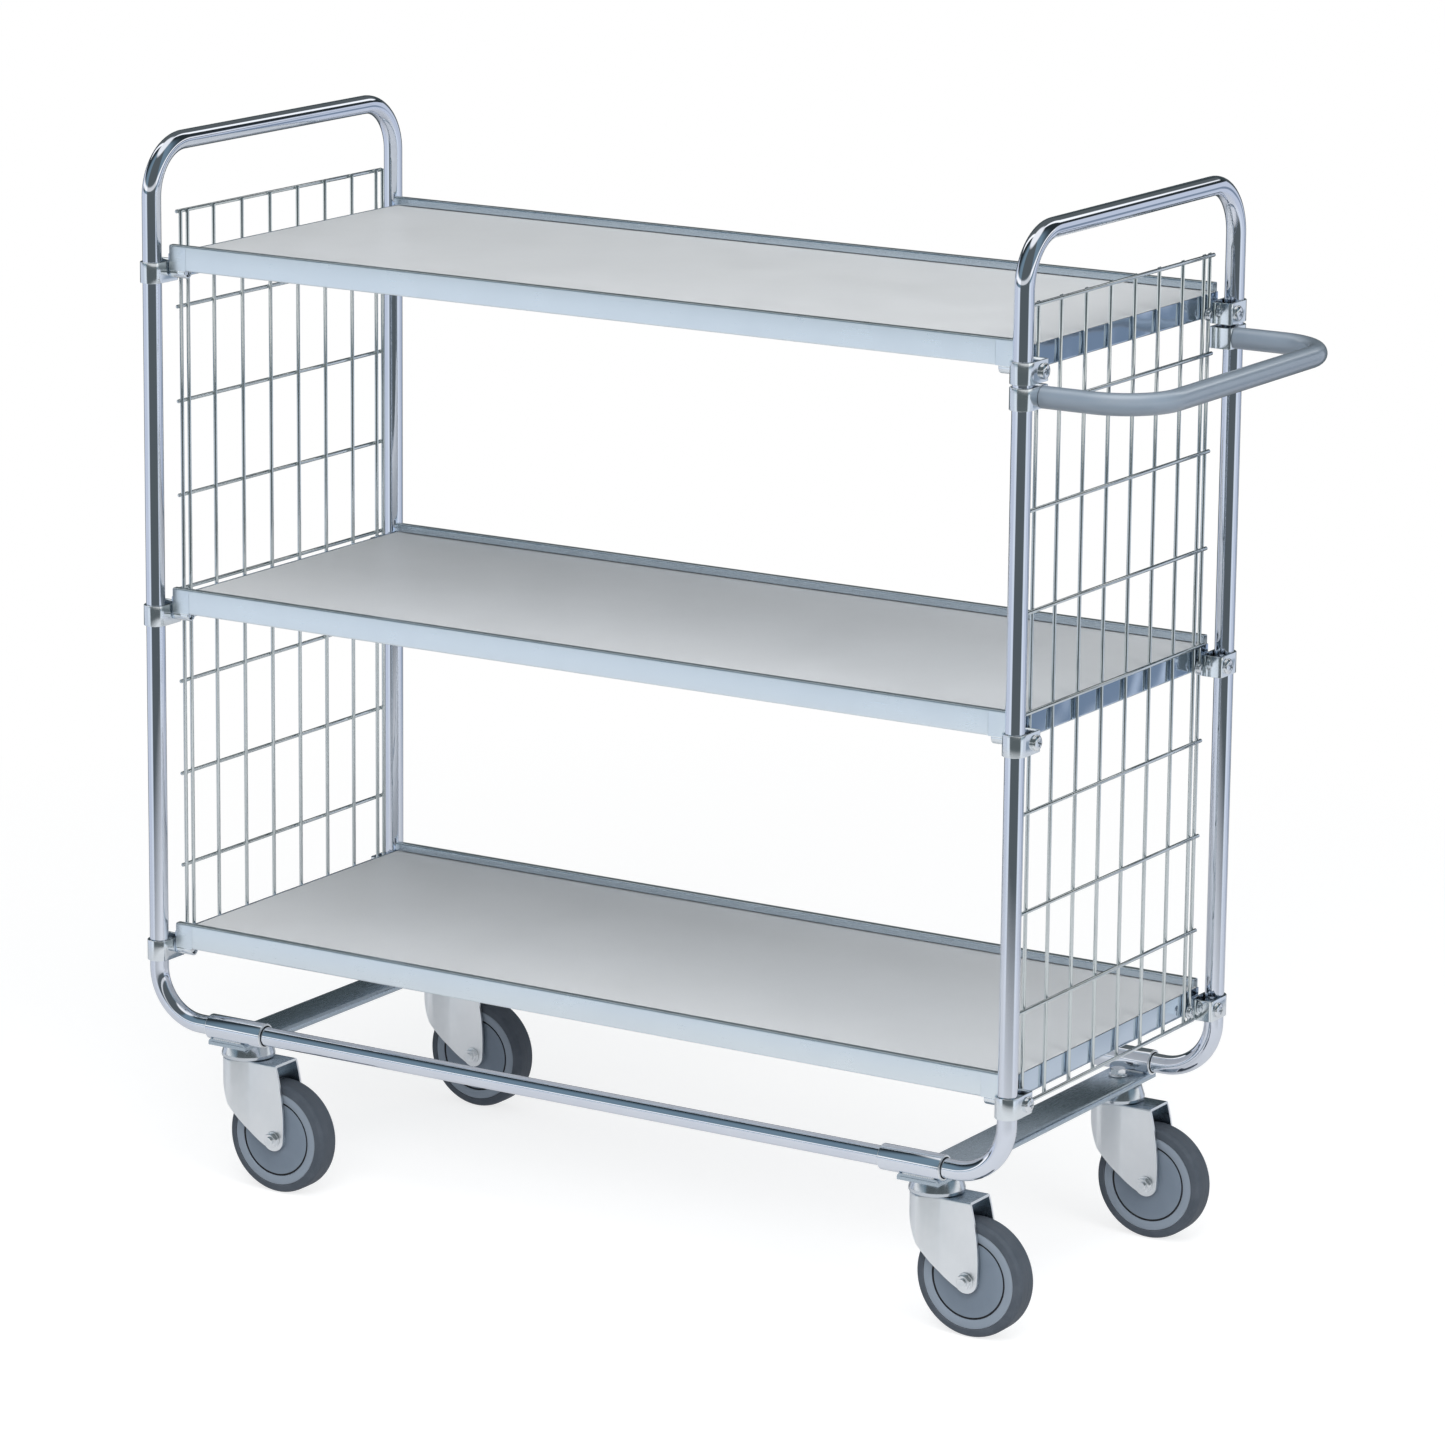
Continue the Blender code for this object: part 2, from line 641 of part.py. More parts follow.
def make_push_handle():
    """A level tube bent round two corners, pushed on to the handle clamps' spigots."""
    start = POST_HALF_LENGTH + CLAMP_HALF + GAP
    bend_x, bend_y = HANDLE_REACH - HANDLE_BEND, SCREW_LINE - HANDLE_BEND

    def path(first):
        points = [(first, -SCREW_LINE)]
        points += arc((bend_x, -bend_y), HANDLE_BEND, -pi / 2, 0, BEND_STEPS)
        points += arc((bend_x, bend_y), HANDLE_BEND, 0, pi / 2, BEND_STEPS)
        points.append((first, SCREW_LINE))
        return [(x, y, HANDLE_HEIGHT) for x, y in points]

    part = tube("push_handle", [path(start)], HANDLE_RADIUS, TUBE_SIDES)
    bore = tube("push_handle_bore", [path(start - OVERRUN)], HANDLE_RADIUS - HANDLE_WALL,
                TUBE_SIDES, hidden=True)
    combine(part, "DIFFERENCE", bore)
    finish(part, COATING)


def make_handle_clamps():
    """Straps like the shelf ones, with the screw from inside and a spigot in the handle's tube."""
    reach = SPIGOT_LENGTH + WELD
    spigot_middle = POST_HALF_LENGTH + CLAMP_HALF - WELD + reach / 2
    for word, face in FACES:
        name = "handle_clamp_" + word
        part = make_clamp(name, 1, face, HANDLE_HEIGHT)
        seat = (POST_HALF_LENGTH - CLAMP_HALF, face * SCREW_LINE, HANDLE_HEIGHT)
        screw = turned_sideways(name + "_screw", screw_profile(CLAMP_HALF * 2), -1, seat,
                                SCREW_SIDES)
        spigot = cylinder(name + "_spigot", SPIGOT_RADIUS, reach, "X",
                          (spigot_middle, face * SCREW_LINE, HANDLE_HEIGHT), SPIGOT_SIDES)
        combine(part, "UNION", spigot, screw)
        finish(part, FASTENER)


# Casters: head on the cross member, fork turning under it, wheel on its axle
def make_caster_head(tag, king):
    """The fixed head: a pressed cup, the king pin and the bolt that holds it up to the cross member."""
    web_top = MEMBER_TOP + GAP
    washer_top = web_top + BOLT_WASHER_HEIGHT
    plate_low = FORK_TOP - FORK_SHEET - GAP
    profile = [(0, washer_top + WELD), (BOLT_WASHER_RADIUS, washer_top + WELD),
               (BOLT_WASHER_RADIUS, web_top), (BOLT_RADIUS, web_top), (BOLT_RADIUS, CUP_TOP - WELD),
               (KING_PIN_RADIUS, CUP_TOP - WELD), (KING_PIN_RADIUS, plate_low),
               (PIN_NUT_RADIUS, plate_low), (PIN_NUT_RADIUS, plate_low - PIN_NUT_HEIGHT),
               (0, plate_low - PIN_NUT_HEIGHT)]
    part = turned("caster_head_" + tag, profile, "Z", (0, 0, 0), SCREW_SIDES, king)
    bolt = cylinder("bolt_head_" + tag, BOLT_HEAD_RADIUS, BOLT_HEAD_HEIGHT, "Z",
                    (0, 0, washer_top + BOLT_HEAD_HEIGHT / 2), HEX_SIDES, king)
    cup = [(0, CUP_TOP), (CUP_TOP_RADIUS, CUP_TOP), (CUP_RADIUS, CUP_LOW + CUP_RIM),
           (CUP_RADIUS - WELD, CUP_LOW), (0, CUP_LOW)]
    cup_body = turned("cup_" + tag, cup, "Z", (0, 0, 0), CUP_SIDES, king, hidden=True)
    cup_body.rotation_euler.z = pi / CUP_SIDES
    combine(part, "UNION", cup_body, bolt)
    finish(part, PRESSED_ZINC)


def fork_side_outline():
    """The fork seen from its side, from the king axis: shoulder in front, boss at the axle."""
    axle = (TRAIL, WHEEL_RADIUS)
    boss = arc(axle, FORK_BOSS_RADIUS, pi * 5 / 4, pi * 2, BEND_STEPS)
    front = quadratic((-FORK_FRONT_RADIUS, FORK_TOP - FORK_SKIRT),
                      (-FORK_FRONT_RADIUS * FRONT_PULL_SHARE, WHEEL_RADIUS + FORK_BOSS_RADIUS),
                      boss[0], BEND_STEPS)
    rear_pull = (boss[-1][0] + FORK_REAR_BULGE, (WHEEL_RADIUS + FORK_TOP) / 2)
    rear = quadratic(boss[-1], rear_pull, (FORK_REAR, FORK_TOP), BEND_STEPS - 1)
    return [(-FORK_FRONT_RADIUS, FORK_TOP)] + front + boss[1:] + rear[1:]


def fork_plan_outline(inset):
    """The fork seen from above: round front, drawn in to two straight legs."""
    radius, half = FORK_FRONT_RADIUS - inset, FORK_HALF_WIDTH - inset
    rear = TRAIL + FORK_BOSS_RADIUS + OVERRUN
    outline = [(rear, half), (FORK_SHOULDER, half)]
    outline += arc((0, 0), radius, pi - FORK_SHOULDER_ANGLE, pi + FORK_SHOULDER_ANGLE, BEND_STEPS * 2)
    return outline + [(FORK_SHOULDER, -half), (rear, -half)]


def make_fork(tag, swivel):
    """The side outline trimmed to the plan outline, then hollowed from below to one sheet."""
    name = "caster_fork_" + tag
    part = extrusion(name, [fork_side_outline()], (FORK_FRONT_RADIUS + OVERRUN) * 2, "Y", (0, 0, 0), swivel)
    height = FORK_TOP + OVERRUN
    plan = extrusion(name + "_plan", [fork_plan_outline(0)], height, "Z", (0, 0, height / 2), swivel,
                     hidden=True)
    pocket_top = FORK_TOP - FORK_SHEET
    inside = fork_plan_outline(FORK_SHEET)
    inside[0] = (inside[0][0] + OVERRUN, inside[0][1])
    inside[-1] = (inside[-1][0] + OVERRUN, inside[-1][1])
    pocket = extrusion(name + "_pocket", [inside], pocket_top + OVERRUN, "Z",
                       (0, 0, (pocket_top - OVERRUN) / 2), swivel, hidden=True)
    pin = cylinder(name + "_pin_hole", KING_PIN_RADIUS + GAP, FORK_SHEET * 3, "Z", (0, 0, FORK_TOP),
                   ROUND_SIDES, swivel)
    axle = cylinder(name + "_axle_hole", AXLE_RADIUS + GAP, FORK_HALF_WIDTH * 3, "Y",
                    (TRAIL, 0, WHEEL_RADIUS), ROUND_SIDES, swivel)
    combine(part, "INTERSECT", plan)
    combine(part, "DIFFERENCE", pocket, pin, axle)
    finish(part, PRESSED_ZINC)


def make_axle(tag, swivel):
    """The axle bolt with its hex head and nut, outside the fork's legs."""
    seat = FORK_HALF_WIDTH + GAP
    nut_end = seat + AXLE_HEX_HEIGHT + AXLE_END
    head_end = seat + AXLE_HEX_HEIGHT / 2
    part = cylinder("caster_axle_" + tag, AXLE_RADIUS, nut_end + head_end, "Y",
                    (TRAIL, (head_end - nut_end) / 2, WHEEL_RADIUS), SCREW_SIDES, swivel, hidden=False)
    for word, face in FACES:
        middle = face * (seat + AXLE_HEX_HEIGHT / 2)
        hexagon = cylinder("axle_hex_%s_%s" % (tag, word), AXLE_HEX_RADIUS, AXLE_HEX_HEIGHT, "Y",
                           (TRAIL, middle, WHEEL_RADIUS), HEX_SIDES, swivel)
        combine(part, "UNION", hexagon)
    finish(part, FASTENER)


def make_wheel(tag, axle):
    """A tyre ring and the moulded rim inside it, with a dished face and a boss that clears the fork."""
    tread = [(TYRE_INNER_RADIUS, TYRE_HALF_WIDTH),
             (TREAD_SHOULDER_RADIUS, TYRE_HALF_WIDTH * SHOULDER_SHARE), (WHEEL_RADIUS, TREAD_HALF_WIDTH)]
    tyre_profile = tread + [(radius, -width) for radius, width in tread[::-1]]
    tyre = turned("wheel_tyre_" + tag, tyre_profile, "Y", (0, 0, 0), WHEEL_SIDES, axle, closed=True)
    finish(tyre, GREY_RUBBER)
    hub_half = FORK_HALF_WIDTH - FORK_SHEET - GAP
    bore = AXLE_RADIUS + GAP
    face = [(bore, hub_half), (HUB_BOSS_RADIUS, hub_half), (HUB_BOSS_RADIUS, RIM_DISH_HALF_WIDTH),
            (RIM_DISH_RADIUS, RIM_DISH_HALF_WIDTH), (TYRE_INNER_RADIUS - GAP, RIM_FACE_HALF_WIDTH)]
    rim_profile = face + [(radius, -width) for radius, width in face[::-1]]
    rim = turned("wheel_rim_" + tag, rim_profile, "Y", (0, 0, 0), WHEEL_SIDES, axle, closed=True)
    finish(rim, GREY_NYLON)


def make_casters():
    """Four swivel casters, all trailing towards the push handle."""
    for side_word, side in SIDES:
        for face_word, face in FACES:
            tag = "%s_%s" % (side_word, face_word)
            swivel = add_empty("swivel_" + tag, (side * KING_HALF_LENGTH, face * KING_HALF_WIDTH, 0))
            axle = add_empty("axle_line_" + tag, (TRAIL, 0, WHEEL_RADIUS), swivel)
            make_caster_head(tag, swivel)
            make_fork(tag, swivel)
            make_axle(tag, swivel)
            make_wheel(tag, axle)


make_end_frames()
make_side_rails()
make_cross_members()
make_end_meshes()
for shelf, height in SHELF_LEVELS.items():
    make_shelf_board(shelf, height)
    make_shelf_profiles(shelf, height)
    make_shelf_ends(shelf, height)
    make_shelf_clamps(shelf, height)
make_push_handle()
make_handle_clamps()
make_casters()
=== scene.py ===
"""Dresses the shelf trolley's frame for a render: finer pieces, procedural finishes, soft light, camera."""
from math import cos, pi, radians, sin, sqrt, tan

import bmesh
import bpy
from mathutils import Matrix, Vector


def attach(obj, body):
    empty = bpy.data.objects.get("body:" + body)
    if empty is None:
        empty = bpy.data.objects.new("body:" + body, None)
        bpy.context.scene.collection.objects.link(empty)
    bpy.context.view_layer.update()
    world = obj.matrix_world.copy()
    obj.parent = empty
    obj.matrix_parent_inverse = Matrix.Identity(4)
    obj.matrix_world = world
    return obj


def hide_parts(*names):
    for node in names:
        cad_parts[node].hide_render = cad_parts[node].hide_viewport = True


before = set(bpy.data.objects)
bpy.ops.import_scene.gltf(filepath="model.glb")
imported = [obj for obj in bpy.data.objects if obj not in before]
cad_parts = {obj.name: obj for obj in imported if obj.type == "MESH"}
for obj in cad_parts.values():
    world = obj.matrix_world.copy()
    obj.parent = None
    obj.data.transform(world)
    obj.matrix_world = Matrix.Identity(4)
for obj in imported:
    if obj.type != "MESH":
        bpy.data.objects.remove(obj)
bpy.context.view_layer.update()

# Places and sizes of the trolley, in metres. The shift centres the whole of it, handle included
SHIFT = -0.05925
SIDES = (("left", -1), ("right", 1))
FACES = (("front", -1), ("rear", 1))
LEVELS = {"top": 0.976, "middle": 0.613, "bottom": 0.250}
POST_X, POST_Y = 0.515, 0.218
BOW_Z, RAIL_Z, BEND, TUBE = 1.108, 0.176, 0.055, 0.010
SLEEVE_X, SLEEVE_LENGTH, SLEEVE_R, SLEEVE_BORE = 0.4115, 0.071, 0.0133, 0.0102
MESH_X, LEVEL_WIRE_X, WIRE = 0.5045, 0.5077, 0.002
BOARD_TOP, SEAT = 0.019, 0.0067
PROFILE_Y, PROFILE_X = 0.208, 0.5004
PLATE_X, PLATE_SHEET = 0.5022, 0.0015
SCREW_Y = 0.200
CLAMP_OUT, CLAMP_IN, CLAMP_HIGH = 0.0125, 0.0103, 0.022
HANDLE_X, HANDLE_Z, HANDLE_R, HANDLE_BEND = 0.640, 0.951, 0.011, 0.060
KING_X, KING_Y, CUP_TOP = 0.421, 0.188, 0.1575
FORK_TOP, FORK_HALF, TRAIL, AXLE_Z = 0.141, 0.0195, 0.045, 0.060
JOIN = 0.0003
TUBE_SIDES = 40

# The floor's own colour, and how much it glows for the camera, for matt and for shiny surfaces
FLOOR_PAINT, FLOOR_LIFT, FLOOR_BOUNCE, FLOOR_SHEEN = 0.36, 0.76, 0.46, 0.36
WHITE = (1.0, 1.0, 1.0)

# The camera: its direction from the trolley, its distance, what it aims at and its lens
AZ, EL, ROLL, DISTANCE = radians(32.223), radians(12.747), radians(0.471), 6.3636
BACK = Vector((sin(AZ) * cos(EL), -cos(AZ) * cos(EL), sin(EL)))
AIM = Vector((-0.07203, 0, 0.59816))
LENS, SENSOR, LENS_SHIFT = 153.145, 36, (0.0350, -0.0502)


def at(x, y, z):
    return Matrix.Translation((x, y, z))


def spun(angle, axis):
    return Matrix.Rotation(angle, 4, axis)


PLACED = at(SHIFT, 0, 0)
TURNS = {"Z": Matrix.Identity(4), "X": spun(pi / 2, "Y"), "Y": spun(-pi / 2, "X")}
OUTWARD = {-1: spun(pi, "Z"), 1: spun(0, "Z")}


# Geometry helpers
class Shape:
    """Collects faces with UVs in metres: u runs along the piece, v round its section."""

    def __init__(self):
        self.verts, self.faces, self.uvs, self.slots = [], [], [], []

    def face(self, ids, uvs, slot=0):
        self.faces.append(ids)
        self.uvs.append(uvs)
        self.slots.append(slot)

    def rings(self, rings, closed=True, caps=False, slot=0, loop=False):
        """Skins rows of points, each row being one section."""
        base = len(self.verts)
        n, m = len(rings), len(rings[0])
        for ring in rings:
            self.verts.extend(Vector(p) for p in ring)
        across = [0.0]
        for j in range(m):
            across.append(across[-1] + (Vector(rings[0][(j + 1) % m]) - Vector(rings[0][j])).length)
        if across[-1] < 1e-5:
            across = [j / m * 0.01 for j in range(m + 1)]
        along = [0.0]
        picks = range(0, m, max(1, m // 4))
        for i in range(n):
            a, b = rings[i], rings[(i + 1) % n]
            along.append(along[-1] + sum((Vector(b[j]) - Vector(a[j])).length for j in picks) / len(picks))
        for i in range(n if loop else n - 1):
            for j in range(m if closed else m - 1):
                k, i2 = (j + 1) % m, (i + 1) % n
                ids = [base + i * m + j, base + i * m + k, base + i2 * m + k, base + i2 * m + j]
                uv = [(along[i], across[j]), (along[i], across[j + 1]),
                      (along[i + 1], across[j + 1]), (along[i + 1], across[j])]
                self.face(ids, uv, slot)
        for row in (0, n - 1) if caps else ():
            ids = [base + row * m + j for j in range(m)]
            self.face(ids, [(p[0] + p[2], p[1] + p[2]) for p in rings[row]], slot)
        return self

    def strip_caps(self, outer, inner):
        """Closes the end of a folded sheet with quads between its two faces."""
        base, n = len(self.verts), len(outer)
        self.verts.extend(Vector(p) for p in outer + inner)
        for i in range(n - 1):
            ids = [base + i, base + i + 1, base + n + i + 1, base + n + i]
            points = [outer[i], outer[i + 1], inner[i + 1], inner[i]]
            self.face(ids, [(p[0] + p[1], p[2]) for p in points])

    def add(self, other, matrix=None):
        base = len(self.verts)
        self.verts.extend((matrix @ v) if matrix else v.copy() for v in other.verts)
        for ids, uv, slot in zip(other.faces, other.uvs, other.slots):
            self.face([base + i for i in ids], uv, slot)
        return self


def build_mesh(name, shape):
    mesh = bpy.data.meshes.new(name)
    mesh.from_pydata([tuple(v) for v in shape.verts], [], shape.faces)
    layer = mesh.uv_layers.new(name="UVMap")
    layer.data.foreach_set("uv", [c for uv in shape.uvs for pair in uv for c in pair])
    mesh.polygons.foreach_set("material_index", shape.slots)
    work = bmesh.new()
    work.from_mesh(mesh)
    bmesh.ops.remove_doubles(work, verts=work.verts, dist=1e-6)
    bmesh.ops.recalc_face_normals(work, faces=work.faces)
    work.to_mesh(mesh)
    work.free()
    return mesh


def shape_from_mesh(mesh):
    """Reads a mesh back as a shape, with plain UVs."""
    made = Shape()
    made.verts = [v.co.copy() for v in mesh.vertices]
    for polygon in mesh.polygons:
        ids = list(polygon.vertices)
        made.face(ids, [(made.verts[i].x + made.verts[i].z, made.verts[i].y) for i in ids])
    return made


def piece(name, shape, finishes, body, nodes, slot, matrix, bevel=0.0, angle=32):
    """Makes one shown piece, gives it its finishes and lets it ride on its body."""
    mesh = build_mesh(name, shape)
    mesh.transform(matrix)
    for key in finishes.split():
        mesh.materials.append(MAT[key])
    mesh.shade_smooth()
    mesh.set_sharp_from_angle(angle=radians(angle))
    made = bpy.data.objects.new(name, mesh)
    bpy.context.scene.collection.objects.link(made)
    if bevel:
        edge = made.modifiers.new("edges", "BEVEL")
        edge.width, edge.segments = bevel, 2
        edge.limit_method, edge.angle_limit = "ANGLE", radians(angle)
        edge.harden_normals = True
    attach(made, body)
    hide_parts(*nodes)
    return made


def fixed(name, shape, finishes, node, slot, **edges):
    """A shown piece that belongs to the frame's own body."""
    return piece(name, shape, finishes, "frame", [node], slot, PLACED, **edges)


def solve(base, operation, *others):
    """Cuts a mesh with shapes, or trims it to them, and returns the new mesh."""
    target = bpy.data.objects.new("work", base)
    bpy.context.scene.collection.objects.link(target)
    helpers = []
    for other in others:
        helper = bpy.data.objects.new("helper", build_mesh("other", other))
        bpy.context.scene.collection.objects.link(helper)
        step = target.modifiers.new("step", "BOOLEAN")
        step.operation, step.solver, step.object = operation, "EXACT", helper
        helpers.append(helper)
    bpy.context.view_layer.update()
    result = bpy.data.meshes.new_from_object(target.evaluated_get(bpy.context.evaluated_depsgraph_get()))
    for helper in helpers + [target]:
        bpy.data.objects.remove(helper)
    return result


def fillet(corners, radii, steps=6):
    """Rounds the inner corners of an open path, in 2-D or 3-D."""
    pts = [Vector(c) for c in corners]
    made = [pts[0]]
    for i in range(1, len(pts) - 1):
        r = radii[i - 1] if isinstance(radii, (list, tuple)) else radii
        if not r:
            made.append(pts[i])
            continue
        u = (pts[i - 1] - pts[i]).normalized()
        v = (pts[i + 1] - pts[i]).normalized()
        turn = u.angle(v)
        cut = r / tan(turn / 2)
        centre = pts[i] + (u + v).normalized() * (r / sin(turn / 2))
        a, b = pts[i] + u * cut - centre, pts[i] + v * cut - centre
        span = pi - turn
        for k in range(steps + 1):
            t = k / steps
            made.append(centre + (a * sin((1 - t) * span) + b * sin(t * span)) / sin(span))
    made.append(pts[-1])
    return made


def rounded(profile, radii, steps=4):
    """A lathe profile with its corners rounded."""
    return [(p.x, p.y) for p in fillet(profile, radii, steps)]


def circle(radius, sides, height=0.0):
    """The points of a ring about Z."""
    turns = [2 * pi * k / sides for k in range(sides)]
    return [(radius * cos(turn), radius * sin(turn), height) for turn in turns]


def sweep(path, radius, sides=32):
    """A closed round bar along a path, with one radius or one for each point, that doesn't twist."""
    path = [Vector(p) for p in path]
    radii = radius if isinstance(radius, list) else [radius] * len(path)
    last = len(path) - 1
    tangents = [(path[min(i + 1, last)] - path[max(i - 1, 0)]).normalized() for i in range(len(path))]
    normal = tangents[0].orthogonal().normalized()
    rings = []
    for p, t, r in zip(path, tangents, radii):
        normal = (normal - t * normal.dot(t)).normalized()
        other = t.cross(normal)
        rings.append([p + (normal * x + other * y) * r for x, y, _ in circle(1, sides)])
    return Shape().rings(rings, caps=True)


def lathe(profile, sides=48, axis="Z", loop=False, slots=None):
    """Turns (radius, height) points about an axis. Slots give each band its own finish."""
    rings = [circle(radius, sides, height) for radius, height in profile]
    if not slots:
        return turn_shape(Shape().rings(rings, loop=loop), axis)
    shape = Shape()
    for a, b, slot in zip(rings, rings[1:] + rings[:1], slots):
        shape.rings([a, b], slot=slot)
    return turn_shape(shape, axis)


def turn_shape(shape, axis):
    return Shape().add(shape, TURNS[axis])


def offset_path(corners, thickness):
    """The path moved to its left by a thickness, with square corners kept."""
    made = []
    for i, here in enumerate(corners):
        ends = [(a, b) for a, b in ((i - 1, i), (i, i + 1)) if a >= 0 and b < len(corners)]
        ways = [(Vector(corners[b]) - Vector(corners[a])).normalized() for a, b in ends]
        made.append((here[0] - sum(way.y for way in ways) * thickness,
                     here[1] + sum(way.x for way in ways) * thickness))
    return made


def folded(corners, thickness, place, start, end, bend, steps=5, ends=(True, True)):
    """A folded sheet: a right-angled path, real bend radii, swept from start to end."""
    turns = []
    for i in range(1, len(corners) - 1):
        a = Vector(corners[i]) - Vector(corners[i - 1])
        b = Vector(corners[i + 1]) - Vector(corners[i])
        turns.append(a.x * b.y - a.y * b.x > 0)
    small = max(bend - thickness, 0.0003)
    a = fillet(corners, [bend if left else small for left in turns], steps)
    b = fillet(offset_path(corners, thickness), [small if left else bend for left in turns], steps)
    shape = Shape()
    shape.rings([[place(p, where) for p in a + b[::-1]] for where in (start, end)])
    for wanted, where in zip(ends, (start, end)):
        if wanted:
            shape.strip_caps([place(p, where) for p in a], [place(p, where) for p in b])
    return shape


def plate(outline, place, start, end):
    """A flat outline extruded from start to end."""
    return Shape().rings([[place(p, where) for p in outline] for where in (start, end)], caps=True)


def arc(cx, cy, r, a, b, steps):
    return [(cx + r * cos(a + (b - a) * i / steps), cy + r * sin(a + (b - a) * i / steps))
            for i in range(steps + 1)]


def quadratic(a, b, c, steps):
    """Points on a curve from a to c that is drawn towards b."""
    return [tuple((1 - t) ** 2 * p + 2 * t * (1 - t) * q + t * t * r for p, q, r in zip(a, b, c))
            for t in [i / steps for i in range(steps + 1)]]


def mirrored(half):
    """A profile from one face to the other, about the wheel's middle plane."""
    return half + [(r, -h) for r, h in half[::-1]]


# Finishes
class Nodes:
    """Adds shader nodes to one tree and wires them."""

    def __init__(self, tree, ramp="LINEAR"):
        self.tree, self.ramp = tree, ramp

    def node(self, kind, **settings):
        made = self.tree.nodes.new(kind)
        for key, value in settings.items():
            setattr(made, key, value)
        return made

    def feed(self, value, socket):
        """Puts another node's output, a colour or a number into a socket."""
        if isinstance(value, bpy.types.NodeSocket):
            self.tree.links.new(value, socket)
        else:
            socket.default_value = (*value, 1) if isinstance(value, tuple) else value

    def wired(self, kind, output, inputs, **settings):
        """A new node with its inputs fed. Gives back the named output."""
        made = self.node(kind, **settings)
        for key, value in inputs.items():
            self.feed(value, made.inputs[key])
        return made.outputs[output]

    def span(self, value, low, high, to_low, to_high):
        return self.wired("ShaderNodeMapRange", "Result", {
            "Value": value, "From Min": low, "From Max": high, "To Min": to_low, "To Max": to_high},
            clamp=True, interpolation_type=self.ramp)

    def mix(self, factor, a, b):
        return self.wired("ShaderNodeMix", 2, {0: factor, 6: a, 7: b}, data_type="RGBA")

    def math(self, operation, a, b=0.0):
        return self.wired("ShaderNodeMath", 0, {0: a, 1: b}, operation=operation)

    def times(self, a, b):
        return self.math("MULTIPLY", a, b)


class Finish(Nodes):
    """One procedural material."""

    def __init__(self, name, colour, roughness, metallic=0.0, **values):
        self.material = bpy.data.materials.new(name)
        self.material.use_nodes = True
        self.material.diffuse_color = (*colour, 1)
        super().__init__(self.material.node_tree)
        self.shader = self.tree.nodes["Principled BSDF"]
        for key, value in {"Roughness": roughness, "Metallic": metallic, **values}.items():
            self.shader.inputs[key.replace("_", " ")].default_value = value
        self.colour(tuple(colour))
        self.coords = self.node("ShaderNodeTexCoord")
        self.normal = None

    def noise(self, scale, stretch=(1, 1, 1), source="Object", detail=3.0, rough=0.55, distortion=0.0):
        return self.wired("ShaderNodeTexNoise", "Fac", {
            "Vector": self.place(stretch, source), "Scale": scale, "Detail": detail, "Roughness": rough,
            "Distortion": distortion})

    def place(self, stretch, source):
        mapping = self.node("ShaderNodeMapping")
        mapping.inputs["Scale"].default_value = stretch
        self.feed(self.coords.outputs[source], mapping.inputs["Vector"])
        return mapping.outputs["Vector"]

    def streaks(self, stretch, **look):
        """Noise drawn out along the piece, in its UVs."""
        return self.noise(1, (*stretch, 1), "UV", **look)

    def edges(self, low=0.505, high=0.56):
        """Where the surface bulges, for wear on edges."""
        return self.span(self.node("ShaderNodeNewGeometry").outputs["Pointiness"], low, high, 0, 1)

    def bump(self, height, strength, distance):
        inputs = {"Height": height, "Strength": strength, "Distance": distance}
        if self.normal:
            inputs["Normal"] = self.normal
        self.normal = self.wired("ShaderNodeBump", "Normal", inputs)
        self.feed(self.normal, self.shader.inputs["Normal"])

    def colour(self, value):
        self.feed(value, self.shader.inputs["Base Color"])

    def roughness(self, value):
        self.feed(value, self.shader.inputs["Roughness"])


def zinc(name, light, dark, smooth, rough, draw, lines, marks=0.5, spangle=0.0, wave=0.0):
    """Plated steel: cloudy colour, drawn or rolled lines along the piece, wear on edges, fine marks."""
    made = Finish(name, light, smooth, 1.0)
    cloud = made.noise(9, detail=4, rough=0.6)
    base = made.mix(made.span(cloud, 0.35, 0.68, 0, 1), dark, light)
    streak = made.streaks((14, 900), detail=3, rough=0.6)
    base = made.mix(made.span(streak, 0.3, 0.7, draw * 0.5, 0), base, tuple(c * 0.72 for c in dark))
    if spangle:
        flake = made.wired("ShaderNodeTexVoronoi", "Distance",
                           {"Vector": made.place((1, 1, 0.6), "Object"), "Scale": 150})
        base = made.mix(made.span(flake, 0.1, 0.7, 0, spangle), base, tuple(c * 0.8 for c in dark))
    worn = tuple(min(1, c * 1.10 + 0.04) for c in light)
    made.colour(made.mix(made.times(made.edges(), 0.55), base, worn))
    fine = made.streaks((40, 2600), detail=2, rough=0.5)
    smear = made.noise(26, detail=5, rough=0.65)
    made.roughness(made.span(made.math("ADD", fine, smear), 0.7, 1.35, smooth, rough))
    made.bump(fine, lines, 0.00012)
    scratch = made.streaks((60, 420), detail=5, rough=0.7, distortion=0.6)
    made.bump(made.span(scratch, 0.62, 0.72, 0, 1), 0.05 * marks, 0.0002)
    if wave:
        made.bump(made.noise(11, detail=1), wave, 0.006)
    return made.material


